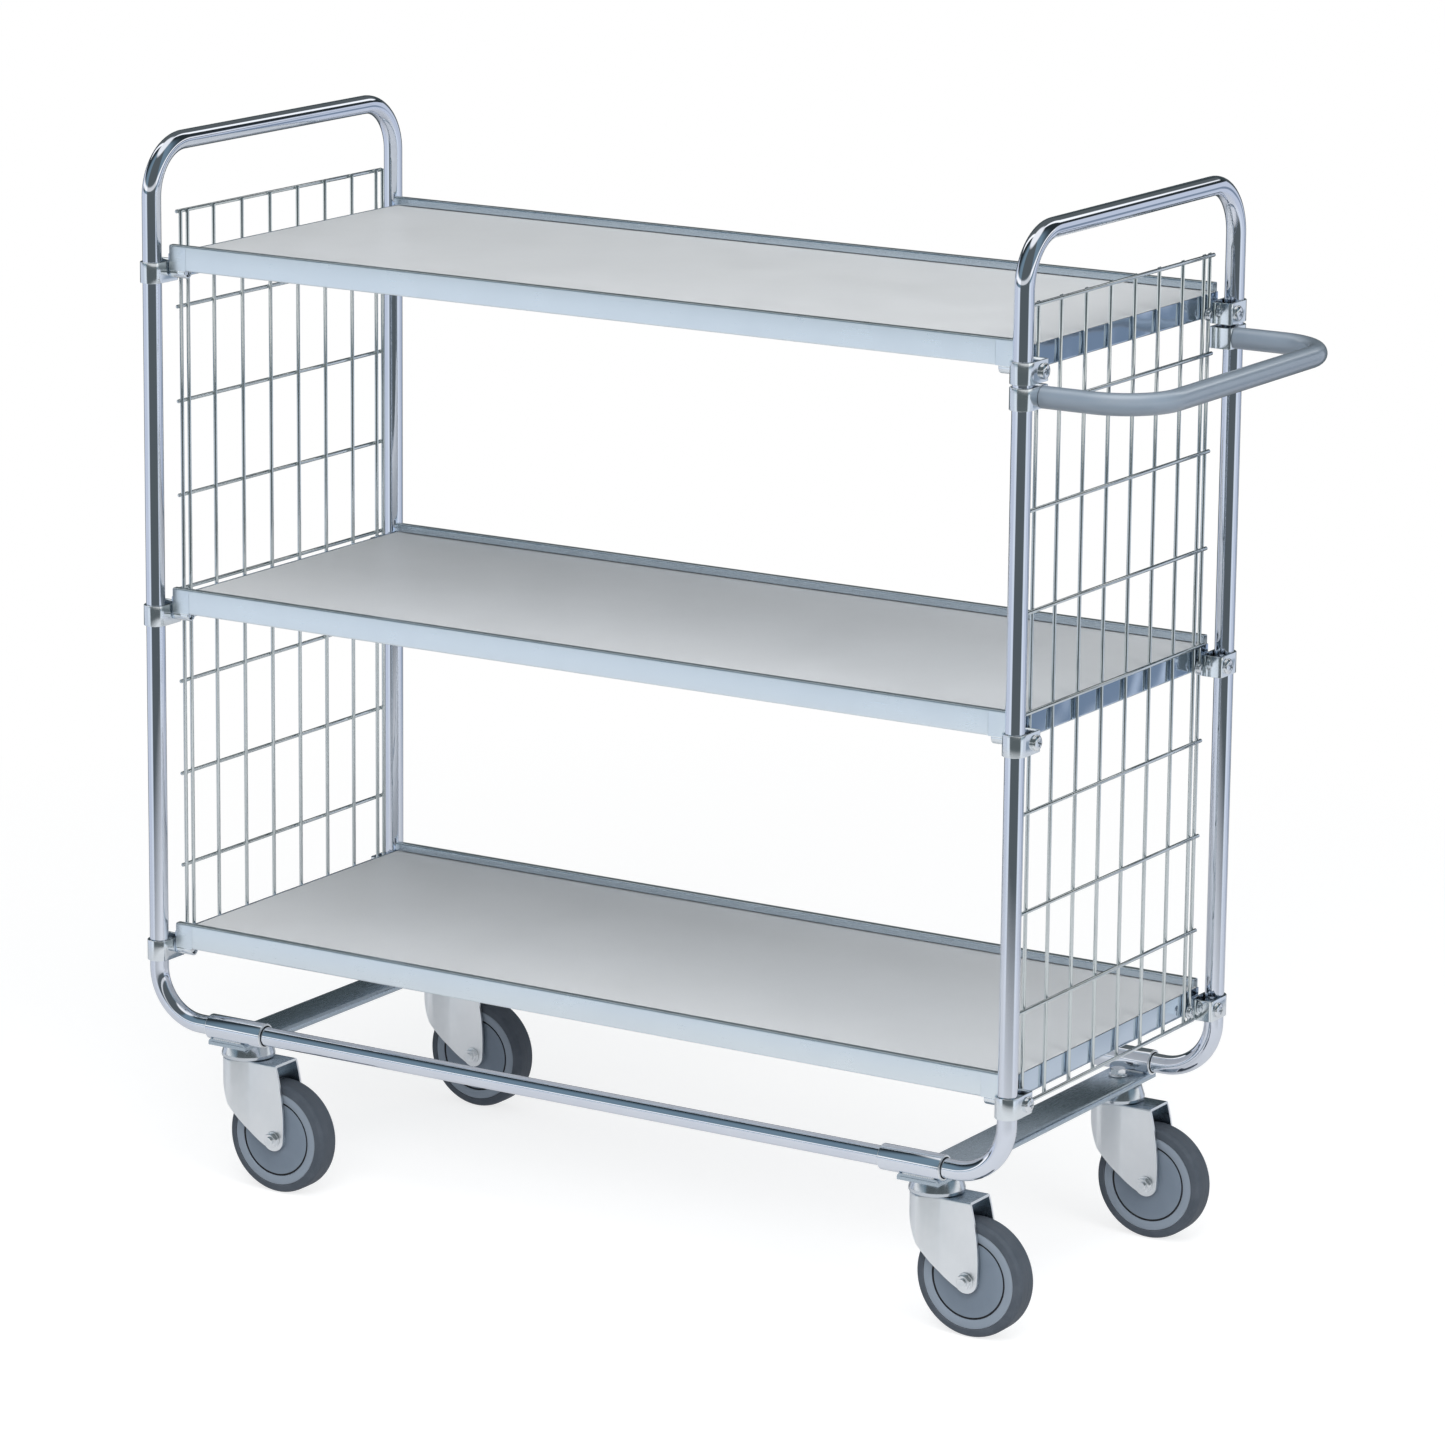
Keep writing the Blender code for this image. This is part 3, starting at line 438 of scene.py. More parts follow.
# Plated finishes: name, light tone, dark tone, least and most roughness, drawn lines in colour and in
# relief, then what else a finish has of marks, crystals and waviness
ZINC = {
    "tube": ("bright_zinc_tube", (0.83, 0.86, 0.93), (0.77, 0.81, 0.90), 0.03, 0.08, 0.08, 0.012, 0.25),
    "sheet": ("zinc_sheet", (0.82, 0.90, 0.97), (0.79, 0.87, 0.95), 0.27, 0.33, 0.06, 0.04, 0.08),
    "plate": ("zinc_sheet_bright", (0.60, 0.69, 0.80), (0.52, 0.62, 0.74), 0.06, 0.13, 0.15, 0.04, 0.3,
              0.0, 0.9),
    "member": ("zinc_member", (0.46, 0.535, 0.595), (0.42, 0.49, 0.555), 0.24, 0.30, 0.04, 0.004, 0.0),
    # A darker copy of the sheet finish: painted shade for the profiles' inward faces and the fork's top
    "inside": ("zinc_sheet_inside", (0.53, 0.60, 0.665), (0.49, 0.56, 0.63), 0.24, 0.30, 0.06, 0.02, 0.05),
    "wire": ("bright_wire", (0.70, 0.74, 0.74), (0.56, 0.60, 0.60), 0.07, 0.14, 0.2, 0.05, 0.4),
    "clamp": ("zinc_clamp", (0.84, 0.88, 0.92), (0.76, 0.81, 0.86), 0.09, 0.17, 0.06, 0.04, 0.4, 0.04),
    "screw": ("zinc_screw", (0.88, 0.90, 0.92), (0.76, 0.80, 0.84), 0.12, 0.24, 0.12, 0.05, 0.5, 0.08),
    "pressed": ("pressed_zinc", (0.93, 0.95, 0.965), (0.84, 0.88, 0.905), 0.28, 0.40, 0.10, 0.04, 0.7, 0.10),
    "cup": ("pressed_zinc_head", (0.74, 0.77, 0.80), (0.62, 0.67, 0.72), 0.12, 0.22, 0.12, 0.04, 0.6, 0.08),
}
# Moulded plastic of the wheel: name, low tone, high tone, worn tone
NYLON = {
    "nylon": ("grey_nylon_disc", (0.145, 0.182, 0.228), (0.172, 0.211, 0.262), (0.24, 0.285, 0.34)),
    "ring": ("grey_nylon_ring", (0.192, 0.230, 0.278), (0.222, 0.262, 0.315), (0.30, 0.345, 0.40)),
}


def laminate():
    """The boards' top: a warm grey with fine specks and faint scuffs."""
    board = Finish("grey_laminate", (0.73, 0.737, 0.746), 0.42, Specular_IOR_Level=0.5)
    speck = board.noise(1700, detail=2, rough=0.6)
    cloud = board.noise(5, detail=4, rough=0.6)
    base = board.mix(board.span(cloud, 0.3, 0.7, 0, 1), (0.718, 0.725, 0.732), (0.745, 0.752, 0.762))
    base = board.mix(board.span(speck, 0.56, 0.74, 0, 0.30), base, (0.55, 0.55, 0.56))
    base = board.mix(board.span(speck, 0.24, 0.40, 0.22, 0), base, (0.80, 0.80, 0.81))
    scuff = board.noise(1, (3, 90, 60), detail=6, rough=0.7, distortion=0.4)
    base = board.mix(board.span(scuff, 0.66, 0.78, 0, 0.10), base, (0.50, 0.50, 0.50))
    board.colour(board.mix(board.times(board.edges(), 0.4), base, (0.70, 0.70, 0.70)))
    board.roughness(board.span(board.noise(14, detail=5, rough=0.65), 0.3, 0.75, 0.36, 0.52))
    board.bump(board.noise(2600, detail=2), 0.10, 0.00012)
    board.bump(board.noise(3, detail=1), 0.05, 0.002)
    return board.material


def edge_band():
    """The band round the boards' edges."""
    edge = Finish("grey_edge_band", (0.50, 0.50, 0.505), 0.5)
    edge.colour(edge.mix(edge.span(edge.noise(60, (1, 1, 6), detail=4), 0.3, 0.7, 0, 1),
                         (0.46, 0.46, 0.465), (0.54, 0.54, 0.545)))
    edge.roughness(edge.span(edge.noise(300), 0.3, 0.7, 0.42, 0.58))
    edge.bump(edge.noise(900, detail=2), 0.1, 0.0001)
    return edge.material


def coating():
    """The handle's paint, with a painted highlight: a paler band along its upper side, where the normal
    points partly up, and none on top.
    """
    coat = Finish("blue_grey_coating", (0.20, 0.24, 0.29), 0.34, Coat_Weight=1.0, Coat_Roughness=0.1)
    base = coat.mix(coat.span(coat.noise(12), 0.3, 0.7, 0, 1), (0.192, 0.232, 0.280), (0.212, 0.254, 0.303))
    fleck = coat.noise(900, detail=2)
    base = coat.mix(coat.span(fleck, 0.6, 0.72, 0, 0.22), base, (0.26, 0.305, 0.36))
    rub = coat.streaks((18, 220), detail=5, rough=0.7)
    base = coat.mix(coat.span(rub, 0.64, 0.76, 0, 0.15), base, (0.28, 0.325, 0.375))
    # Painted highlight: the paler band is picked by how far the surface faces up
    normal = coat.node("ShaderNodeNewGeometry").outputs["Normal"]
    rise = coat.wired("ShaderNodeSeparateXYZ", "Z", {0: normal})
    band = coat.times(coat.span(rise, 0.55, 0.72, 0, 0.42), coat.span(rise, 0.82, 0.93, 1, 0))
    coat.colour(coat.mix(band, base, (0.34, 0.385, 0.44)))
    coat.roughness(coat.span(coat.noise(40, detail=4), 0.3, 0.7, 0.28, 0.42))
    coat.bump(coat.noise(520, detail=2, rough=0.4), 0.12, 0.0003)
    return coat.material


def tyre_rubber():
    """The tyres: dusty matt rubber, paler where its edges wear."""
    rubber = Finish("grey_rubber", (0.072, 0.078, 0.09), 0.6, Specular_IOR_Level=0.35)
    dust = rubber.noise(45, detail=6, rough=0.7)
    base = rubber.mix(rubber.span(dust, 0.4, 0.72, 0, 1), (0.060, 0.073, 0.091), (0.086, 0.100, 0.121))
    rubber.colour(rubber.mix(rubber.times(rubber.edges(0.51), 0.35), base, (0.15, 0.157, 0.17)))
    rubber.roughness(rubber.span(dust, 0.3, 0.7, 0.5, 0.72))
    rubber.bump(rubber.noise(1400, rough=0.6), 0.25, 0.00018)
    rubber.bump(rubber.streaks((30, 700), detail=2), 0.10, 0.0002)
    return rubber.material


def moulding(name, low_tone, high_tone, worn):
    """The rims: satin plastic with flow marks."""
    nylon = Finish(name, high_tone, 0.42, Specular_IOR_Level=0.5)
    flow = nylon.noise(18, detail=5, rough=0.6, distortion=0.8)
    base = nylon.mix(nylon.span(flow, 0.3, 0.7, 0, 1), low_tone, high_tone)
    nylon.colour(nylon.mix(nylon.times(nylon.edges(0.51), 0.5), base, worn))
    nylon.roughness(nylon.span(flow, 0.3, 0.7, 0.36, 0.5))
    nylon.bump(nylon.noise(1100, detail=2), 0.12, 0.00012)
    nylon.bump(nylon.streaks((4, 500), detail=2), 0.06, 0.0002)
    return nylon.material


# Painted shadow: a near-black finish for narrow gaps, the rims' grooves and the sleeves' mouths
def groove_painted_shadow():
    gap = Finish("groove_painted_shadow", (0.012, 0.013, 0.016), 0.7)
    gap.colour(gap.mix(gap.noise(400), (0.010, 0.011, 0.013), (0.02, 0.021, 0.024)))
    gap.bump(gap.noise(900), 0.1, 0.0001)
    return gap.material


MAT = {key: zinc(*row) for key, row in ZINC.items()}
MAT.update(board=laminate(), edge=edge_band(), coat=coating(), rubber=tyre_rubber())
MAT.update((key, moulding(*row)) for key, row in NYLON.items())
MAT["groove"] = groove_painted_shadow()


# Frame: end frames, side rails, cross members
def make_end_frames():
    for word, side in SIDES:
        stub, post = side * (SLEEVE_X + JOIN), side * POST_X
        path = fillet([(stub, -POST_Y, RAIL_Z), (post, -POST_Y, RAIL_Z), (post, -POST_Y, BOW_Z),
                       (post, POST_Y, BOW_Z), (post, POST_Y, RAIL_Z), (stub, POST_Y, RAIL_Z)], BEND, 20)
        fixed("end_frame_tube_" + word, sweep(path, TUBE, TUBE_SIDES), "tube", "end_frame_" + word,
              "bright_zinc_tube")


def make_rails():
    reach, steps = SLEEVE_X - JOIN, 12
    for word, face in FACES:
        path = [(reach * (i / steps - 1), face * POST_Y, RAIL_Z) for i in range(2 * steps + 1)]
        fixed("side_rail_tube_" + word, sweep(path, TUBE, TUBE_SIDES), "tube", "side_rail_" + word,
              "bright_zinc_tube")


def make_members():
    """Shallow channels with the web on top, joint sleeves sunk into it, and a weld along each side."""
    half, bottom, top, sheet, reach, bend = 0.024, 0.1579, 0.165, 0.003, 0.227, 0.0042
    flange_out, flange_in, flange_top, flange_foot = reach - 0.0002, reach - 0.0028, half - 0.0006, 0.0208
    corners = [(half, bottom), (half, top), (-half, top), (-half, bottom)]
    outline = [(-flange_top, top - sheet), (flange_top, top - sheet), (flange_foot, bottom),
               (-flange_foot, bottom)]
    for word, side in SIDES:
        middle, node = side * KING_X, "cross_member_" + word

        def place(p, y, middle=middle):
            return Vector((middle + p[0], y, p[1]))
        shape = folded(corners, sheet, place, -reach, reach, bend, 7)
        for face in (-1, 1):
            shape.add(plate(outline, place, face * flange_out, face * flange_in))
        fixed("cross_channel_" + word, shape, "member", node, "zinc_sheet", bevel=0.0005)
        fixed("joint_sleeves_" + word, sleeve_pair(side), "tube groove pressed", node, "zinc_sheet")
        fixed("weld_beads_" + word, bead_rows(middle, half, top), "pressed", node, "zinc_sheet")


def sleeve_pair(side):
    """Sleeves with a painted shadow in the mouth round the tube and a painted highlight, the paler pressed
    finish, on the rounded ends.
    """
    end, mouth = SLEEVE_LENGTH / 2, SLEEVE_LENGTH / 2 - 0.002
    profile = rounded([(SLEEVE_BORE, -mouth), (SLEEVE_BORE, -end), (SLEEVE_R, -end), (SLEEVE_R, end),
                       (SLEEVE_BORE, end), (SLEEVE_BORE, mouth)], [0.0010, 0.0011, 0.0011, 0.0010])
    # Slot 1 is the painted shadow in the mouth, slot 2 the painted highlight on the rounded ends
    slots = [1] * 5 + [2] * 5 + [0] + [2] * 5 + [1] * 6
    pair = Shape()
    for _, face in FACES:
        pair.add(lathe(profile, 48, "X", True, slots), at(side * SLEEVE_X, face * POST_Y, RAIL_Z))
    return pair


def bead_rows(middle, half, top):
    """Rippled weld beads where the sleeves meet the web."""
    thick, ripple, thin, lift, margin, steps = 0.0012, 0.0002, 0.0006, 0.0004, 0.006, 40
    foot = sqrt(SLEEVE_R ** 2 - (RAIL_Z - top) ** 2) + lift
    radii = [thin] + [thick + ripple * sin(i * 2.1) for i in range(1, steps)] + [thin]
    beads = Shape()
    for _, face in FACES:
        for outward in (-1, 1):
            y, z = face * POST_Y + outward * foot, top + lift
            path = [(middle + (half - margin) * (2 * i / steps - 1), y, z) for i in range(steps + 1)]
            beads.add(sweep(path, radii, 12))
    return beads


# Wire mesh ends
def wire(start, end):
    """A straight wire with rounded ends."""
    a, b = Vector(start), Vector(end)
    way = (b - a).normalized()
    taper = ((0, 0.55), (0.0003, 0.85), (0.0009, 1))
    points = [a + way * step for step, _ in taper] + [b - way * step for step, _ in taper[::-1]]
    radii = [WIRE * share for _, share in taper]
    return sweep(points, radii + radii[::-1], 12)


def make_meshes():
    rows = [1.0355 - 0.1 * i for i in range(8)] + [0.240]
    columns = [0.050 * (i - 2.5) for i in range(6)] + [-0.1825, -0.1705, 0.1705, 0.1825]
    foot, head, reach, aside = 0.2384, 1.0371, 0.186, 0.0013
    weld = lathe([(0.0, -0.0011), (0.0010, -0.0008), (0.0015, 0.0), (0.0010, 0.0008), (0.0, 0.0011)], 10, "X")
    for word, side in SIDES:
        grid = Shape()
        for y in columns:
            grid.add(wire((side * MESH_X, y, foot), (side * MESH_X, y, head)))
        for z in rows:
            grid.add(wire((side * LEVEL_WIRE_X, -reach, z), (side * LEVEL_WIRE_X, reach, z)))
        for y in columns:
            for z in rows:
                for way in (-aside, aside):
                    grid.add(weld, at(side * (MESH_X + LEVEL_WIRE_X) / 2, y + way, z - way))
        fixed("end_grille_" + word, grid, "wire", "end_mesh_" + word, "bright_wire")


# Shelves
def make_board(word, level):
    """A laminated board: broken edges, an edge band, and a long flat top."""
    x, y, r, top, low = 0.4998, 0.2065, 0.0008, level + BOARD_TOP, level + 0.007
    shape = Shape()
    rows = []
    for d, z in ((r, top), (r * 0.4, top - r * 0.25), (0, top - r), (0, low + r), (r * 0.4, low + r * 0.25),
                 (r, low)):
        rows.append([(-x + d, -y + d, z), (x - d, -y + d, z), (x - d, y - d, z), (-x + d, y - d, z)])
    for a, b, slot in zip(rows, rows[1:], (0, 0, 1, 0, 0)):
        shape.rings([a, b], slot=slot)
    nx, ny = 20, 8
    for z in (top, low):
        shape.rings([[((r - x) * (1 - 2 * i / nx), (r - y) * (1 - 2 * j / ny), z) for j in range(ny + 1)]
                     for i in range(nx + 1)], closed=False)
    fixed("laminate_board_" + word, shape, "board edge", "shelf_board_" + word, "grey_laminate")


def make_profiles(word, level):
    """Folded edge profiles, with the foot cut back where the bushes are and painted shade on the inward faces
    above the lip.
    """
    sheet, bend, deep, foot = 0.0012, 0.0021, 0.009, 0.016
    top, low, seat, lip = level + 0.0285, level + 0.002, level + SEAT, level + 0.0204
    short = [(deep, lip), (deep, top), (0, top), (0, low)]
    cut = PROFILE_X - 0.021
    for face_word, face in FACES:
        def place(p, x, face=face):
            return Vector((x, face * (PROFILE_Y - p[0]), p[1]))
        shape = folded(short + [(foot, low), (foot, seat)], sheet, place, -cut, cut, bend)
        for a, b, ends in ((-PROFILE_X, -cut, (True, False)), (cut, PROFILE_X, (False, True))):
            shape.add(folded(short, sheet, place, a, b, bend, ends=ends))
        name = "%s_%s" % (word, face_word)
        made = fixed("edge_profile_" + name, shape, "sheet inside", "shelf_profile_" + name, "zinc_sheet",
                     bevel=0.00025, angle=50)
        # Painted shade and painted reflection: inward faces above the lip take the darker copy of the sheet
        # finish
        for polygon in made.data.polygons:
            if polygon.normal.y * face < -0.7 and polygon.center.z > lip:
                polygon.material_index = 1


def make_ends(word, level):
    """End plates folded in under the board, with bushes and mesh screws."""
    top, low, seat, foot = level + BOARD_TOP, level - 0.0055, level + SEAT, 0.014
    half, long, corner, lap, bush_x, screw_y = 0.207, 0.190, 0.004, 0.0001, 0.4917, 0.1765
    bush = lathe(rounded([(0.0046, -0.0082), (0.0046, -0.010), (0.0065, -0.010), (0.0065, 0.010),
                          (0.0046, 0.010), (0.0046, 0.0082)], [0.0005, 0.0008, 0.0003, 0.0003], 3),
                 36, "X", True)
    washer = lathe(rounded([(0.0026, 0.0046), (0.007, 0.0046), (0.007, 0.0058), (0.0026, 0.0058)],
                           [0.0003, 0.0003], 3), 36, "X", True)
    for side_word, side in SIDES:
        def place(p, y, side=side):
            return Vector((side * (PLATE_X - p[0]), y, p[1]))

        def flat(p, x, side=side):
            return Vector((side * x, p[0], p[1]))
        shape = folded([(0, top), (0, low), (foot, low), (foot, seat)], PLATE_SHEET, place, -long, long,
                       0.0024, 6)
        bushes, screws = Shape(), Shape()
        for _, face in FACES:
            outline = [(face * (long - lap), top), (face * half, top)]
            outline += [(face * y, z) for y, z in arc(half - corner, low + corner, corner, 0, -pi / 2, 6)]
            outline.append((face * (long - lap), low))
            shape.add(plate(outline, flat, PLATE_X, PLATE_X - PLATE_SHEET))
            bushes.add(bush, at(side * bush_x, face * SCREW_Y, level) @ OUTWARD[side])
            for part in (washer, small_screw):
                screws.add(part, at(side * PLATE_X, face * screw_y, level) @ OUTWARD[side])
        name = "%s_%s" % (word, side_word)
        node = "shelf_end_" + name
        fixed("end_plate_" + name, shape, "plate", node, "zinc_sheet", bevel=0.00025, angle=50)
        fixed("end_bushes_" + name, bushes, "clamp", node, "zinc_fastener")
        fixed("mesh_screws_" + name, screws, "screw", node, "zinc_fastener")


# Screws
def cross_recess(size, depth, top, wide):
    """The two cutters for a cross slot: tapered blades at right angles."""
    blades = []
    for turn in (0, pi / 2):
        rows = []
        for reach, half, z in ((size, wide, top + 0.002), (size, wide, top),
                               (size * 0.35, wide * 0.5, top - depth)):
            rows.append([spun(turn, "Z") @ Vector((x * reach, y * half, z))
                         for x, y in ((-1, -1), (1, -1), (1, 1), (-1, 1))])
        blades.append(Shape().rings(rows, caps=True))
    return blades


def pan_head(reach, radius=0.008, height=0.005, rim=0.0018, shank=0.004, recess=0.0042):
    """A screw along X: a domed head with a cross slot on a plain shank, its seat at 0."""
    dome, steps = [(radius, rim)], 8
    for i in range(1, steps + 1):
        t = i / steps * pi / 2
        dome.append((radius * cos(t) ** 0.8 if i < steps else 0.0, rim + (height - rim) * sin(t)))
    profile = [(0.0, -reach), (shank * 0.8, -reach), (shank, -reach + 0.0006), (shank, 0.0),
               (radius * 0.97, 0.0), (radius, 0.0003)] + dome
    cutters = cross_recess(recess, height * 0.62, height, recess * 0.22)
    head = solve(build_mesh("head", lathe(profile, 40)), "DIFFERENCE", *cutters)
    return turn_shape(shape_from_mesh(head), "X")


big_screw = pan_head(0.0435)
handle_screw = pan_head(0.0250)
small_screw = Shape().add(pan_head(0.0064, 0.0048, 0.0035, 0.0010, 0.0025, 0.0027), at(0.0058, 0, 0))


# Clamps round the posts
def clamp_shape(face, height):
    """A closed strap round the post, seen from above, with rounded corners on the inward end."""
    reach, sheet, r = 0.030, 0.0022, 0.0005

    def section(wide, end, c):
        """Half round at the post, with a corner of radius c at each side of the inward end."""
        return (arc(0, 0, wide, pi, 2 * pi, 20) + arc(wide - c, end - c, c, 0, pi / 2, 6)
                + arc(c - wide, end - c, c, pi / 2, pi, 6))
    outer, inner = section(CLAMP_OUT, reach, 0.0034), section(CLAMP_IN, reach - sheet, 0.0012)
    half = CLAMP_HIGH / 2
    over = [(r, half), (r * 0.3, half - r * 0.3), (0, half - r)]
    under = [(cut, -z) for cut, z in over[::-1]]

    def rows(outline, cuts, wide, deep):
        """Levels of the strap, each drawn in or out by its cut to round the edges."""
        return [[Vector((x * (1 + cut / wide), -face * y * (1 + cut / deep), height + z)) for x, y in outline]
                for cut, z in cuts]
    strap = rows(outer, under[:1] + over[::-1], -CLAMP_OUT, -0.02)
    strap += rows(inner, over + under, CLAMP_OUT / 0.6, 0.03)
    strap += rows(outer, under[:0:-1], -CLAMP_OUT, -0.02)
    return Shape().rings(strap, loop=True)


def make_clamps(word, level):
    for side_word, side in SIDES:
        for face_word, face in FACES:
            name = "%s_%s_%s" % (word, side_word, face_word)
            node = "shelf_clamp_" + name
            strap = Shape().add(clamp_shape(face, level), at(side * POST_X, face * POST_Y, 0))
            fixed("clamp_strap_" + name, strap, "clamp", node, "zinc_fastener")
            slot_turn = spun(0.5 + 1.1 * side + 0.7 * face + level * 3, "X")
            seat = at(side * (POST_X + CLAMP_OUT), face * SCREW_Y, level)
            screw = Shape().add(big_screw, seat @ OUTWARD[side] @ slot_turn)
            fixed("clamp_screw_" + name, screw, "screw", node, "zinc_fastener", angle=28)


def make_handle():
    start = POST_X + CLAMP_OUT + JOIN
    path = fillet([(start, -SCREW_Y, HANDLE_Z), (HANDLE_X, -SCREW_Y, HANDLE_Z),
                   (HANDLE_X, SCREW_Y, HANDLE_Z), (start, SCREW_Y, HANDLE_Z)], HANDLE_BEND, 24)
    fixed("handle_tube", sweep(path, HANDLE_R, TUBE_SIDES), "coat", "push_handle", "blue_grey_coating")
    deep, radius, sunk = 0.0175, 0.0083, -0.0005
    spigot = lathe(rounded([(0.0, deep), (radius, deep), (radius, sunk), (0.0, sunk)], [0.001, 0.0002], 3),
                   32, "X")
    for word, face in FACES:
        node = "handle_clamp_" + word
        strap = Shape().add(clamp_shape(face, HANDLE_Z), at(POST_X, face * POST_Y, 0))
        strap.add(spigot, at(POST_X + CLAMP_OUT, face * SCREW_Y, HANDLE_Z))
        fixed("handle_strap_" + word, strap, "clamp", node, "zinc_fastener")
        screw = Shape().add(handle_screw, at(POST_X - CLAMP_OUT, face * SCREW_Y, HANDLE_Z) @ spun(pi, "Z"))
        fixed("handle_screw_" + word, screw, "screw", node, "zinc_fastener", angle=28)


# Casters
def hex_nut(radius, height):
    """A hexagon with chamfered corners, standing on height 0."""
    over = 0.001
    prism = Shape().rings([circle(radius, 6, z) for z in (-over, height + over)], caps=True)
    flat = radius * cos(pi / 6) * 0.96
    slope = (radius - flat) * 0.55 + 0.0002
    cone = [(0.0, 0.0), (flat, 0.0), (radius * 1.03, slope), (radius * 1.03, height - slope), (flat, height),
            (0.0, height)]
    return shape_from_mesh(solve(build_mesh("prism", prism), "INTERSECT", lathe(cone)))


def cup_shape():
    """The pressed cup: a low rim, sides that lean in, and a flat top against the member."""
    low, rim, wide, neck = 0.1413, 0.0040, 0.0285, 0.0245
    return lathe(rounded([(0.0, low), (0.0268, low), (wide, low + 0.0008), (wide, low + rim), (neck, CUP_TOP),
                          (0.0, CUP_TOP)], [0.0006, 0.0006, 0.0018, 0.0022], 6), 72)


def king_shape():
    """The bolt above the member's web, and the pin and nut under the fork's plate."""
    web, washer_top, nut_low = 0.1653, 0.1673, 0.1332
    shape = Shape()
    shape.add(lathe(rounded([(0.0, web), (0.0098, web), (0.0098, washer_top), (0.0, washer_top)],
                            [0.0003, 0.0005], 3), 40))
    shape.add(hex_nut(0.0085, 0.006), at(0, 0, washer_top))
    shape.add(lathe([(0.0, CUP_TOP - 0.0002), (0.005, CUP_TOP - 0.0002), (0.005, web), (0.0, web)], 24))
    shape.add(lathe([(0.0, 0.1320), (0.0050, 0.1320), (0.006, 0.1330), (0.006, 0.1415), (0.0, 0.1415)], 32))
    shape.add(hex_nut(0.010, 0.005), at(0, 0, nut_low))
    return shape


def fork_outline(steps):
    """The fork from the side: upright front edge, legs that taper to the boss round the axle."""
    front_x, rear_x, shoulder, boss_r = -0.0275, 0.0487, FORK_TOP - 0.011, 0.013
    boss = arc(TRAIL, AXLE_Z, boss_r, pi * 5 / 4, pi * 2, steps)
    front = quadratic((-0.027, shoulder), (-0.00945, 0.073), boss[0], steps)
    rear = quadratic(boss[-1], (boss[-1][0] + 0.0025, (AXLE_Z + FORK_TOP) / 2), (rear_x, FORK_TOP), steps)
    return [(front_x, FORK_TOP), (front_x, shoulder)] + front[1:] + boss[1:] + rear[1:]


def fork_plan(inset, extra):
    """The fork from above: round front, easing into two straight legs."""
    radius, half, start = 0.027 - inset, FORK_HALF - inset, 1.22
    front = arc(0, 0, radius, pi - start, pi + start, 40)
    leg = [(0.062 + extra, half), (0.034, half)]
    leg += quadratic((0.016, half), (0.0105, half + 0.0002), front[0], 8)[:-1]
    return leg + front + [(x, -y) for x, y in leg[::-1]]


def make_fork_shape():
    """One pressed fork: side outline trimmed to the plan, top edge rounded, hollowed to one sheet."""
    sheet, over, wide = 0.0025, 0.002, 0.030

    def prism(plan, low, high):
        """A plan outline standing from one height to another."""
        return plate(plan, lambda p, z: (p[0], p[1], z), low, high)
    slab = plate(fork_outline(24), lambda p, y: (p[0], y, p[1]), -wide, wide)
    solid = solve(build_mesh("slab", slab), "INTERSECT", prism(fork_plan(0, 0), 0.0, FORK_TOP + over))
    work = bmesh.new()
    work.from_mesh(solid)
    bmesh.ops.dissolve_limit(work, angle_limit=radians(0.5), verts=work.verts, edges=work.edges)
    rim = [e for e in work.edges if all(v.co.z > FORK_TOP - 1e-5 for v in e.verts)
           and not all(v.co.x > 0.0485 for v in e.verts) and len(e.link_faces) == 2
           and abs(e.calc_face_angle(0)) > 1.0]
    bmesh.ops.bevel(work, geom=rim, offset=0.0022, offset_type="OFFSET", segments=5, profile=0.5,
                    affect="EDGES", clamp_overlap=True)
    work.to_mesh(solid)
    work.free()
    pocket = prism(fork_plan(sheet, 0.004), -over, FORK_TOP - sheet)
    bore, reach, pin, low, high = 0.0043, 0.04, 0.0063, 0.12, 0.16
    hole = Shape().add(lathe([(0.0, -reach), (bore, -reach), (bore, reach), (0.0, reach)], 32, "Y"),
                       at(TRAIL, 0, AXLE_Z))
    king = lathe([(0.0, low), (pin, low), (pin, high), (0.0, high)], 32)
    return shape_from_mesh(solve(solid, "DIFFERENCE", pocket, hole, king))


def axle_shape():
    """Bolt with a nut on the front and a head on the rear, outside the fork's legs."""
    shank, root, pitch, seat = 0.0040, 0.0036, 0.0007, FORK_HALF + JOIN
    y, tip = -seat - 0.0058, -seat - 0.0085
    bolt = [(0.0, seat + 0.003), (shank, seat + 0.003), (shank, y)]
    while y > -seat - 0.0080:
        bolt += [(shank, y), (root, y - pitch / 2), (shank, y - pitch)]
        y -= pitch
    shape = lathe(bolt + [(0.0033, tip), (0.0, tip)], 32, "Y")
    nut = hex_nut(0.0078, 0.0052)
    disc = [(0.0, 0.0), (0.0086, 0.0), (0.0086, 0.0011), (0.0, 0.0014)]
    flange = lathe(rounded(disc, [0.0002, 0.0004], 3), 36)
    for way, turn in ((-1, 0.2), (1, 0.35)):
        shape.add(nut, at(0, way * (seat + 0.0006), 0) @ spun(-way * pi / 2, "X") @ spun(turn, "Z"))
    for way in (-1, 1):
        shape.add(flange, at(0, way * seat, 0) @ spun(-way * pi / 2, "X"))
    return shape


def tyre_shape():
    tread, seam = 0.0600, 0.05985
    half = rounded([(0.0509, 0.0148), (0.0516, 0.0150), (0.0575, 0.0140), (0.0599, 0.0105), (tread, 0.0030)],
                   [0.0004, 0.0022, 0.004], 6)
    return lathe(mirrored(half + [(tread, 0.0006), (seam, 0.0004)]), 120, "Y", True)


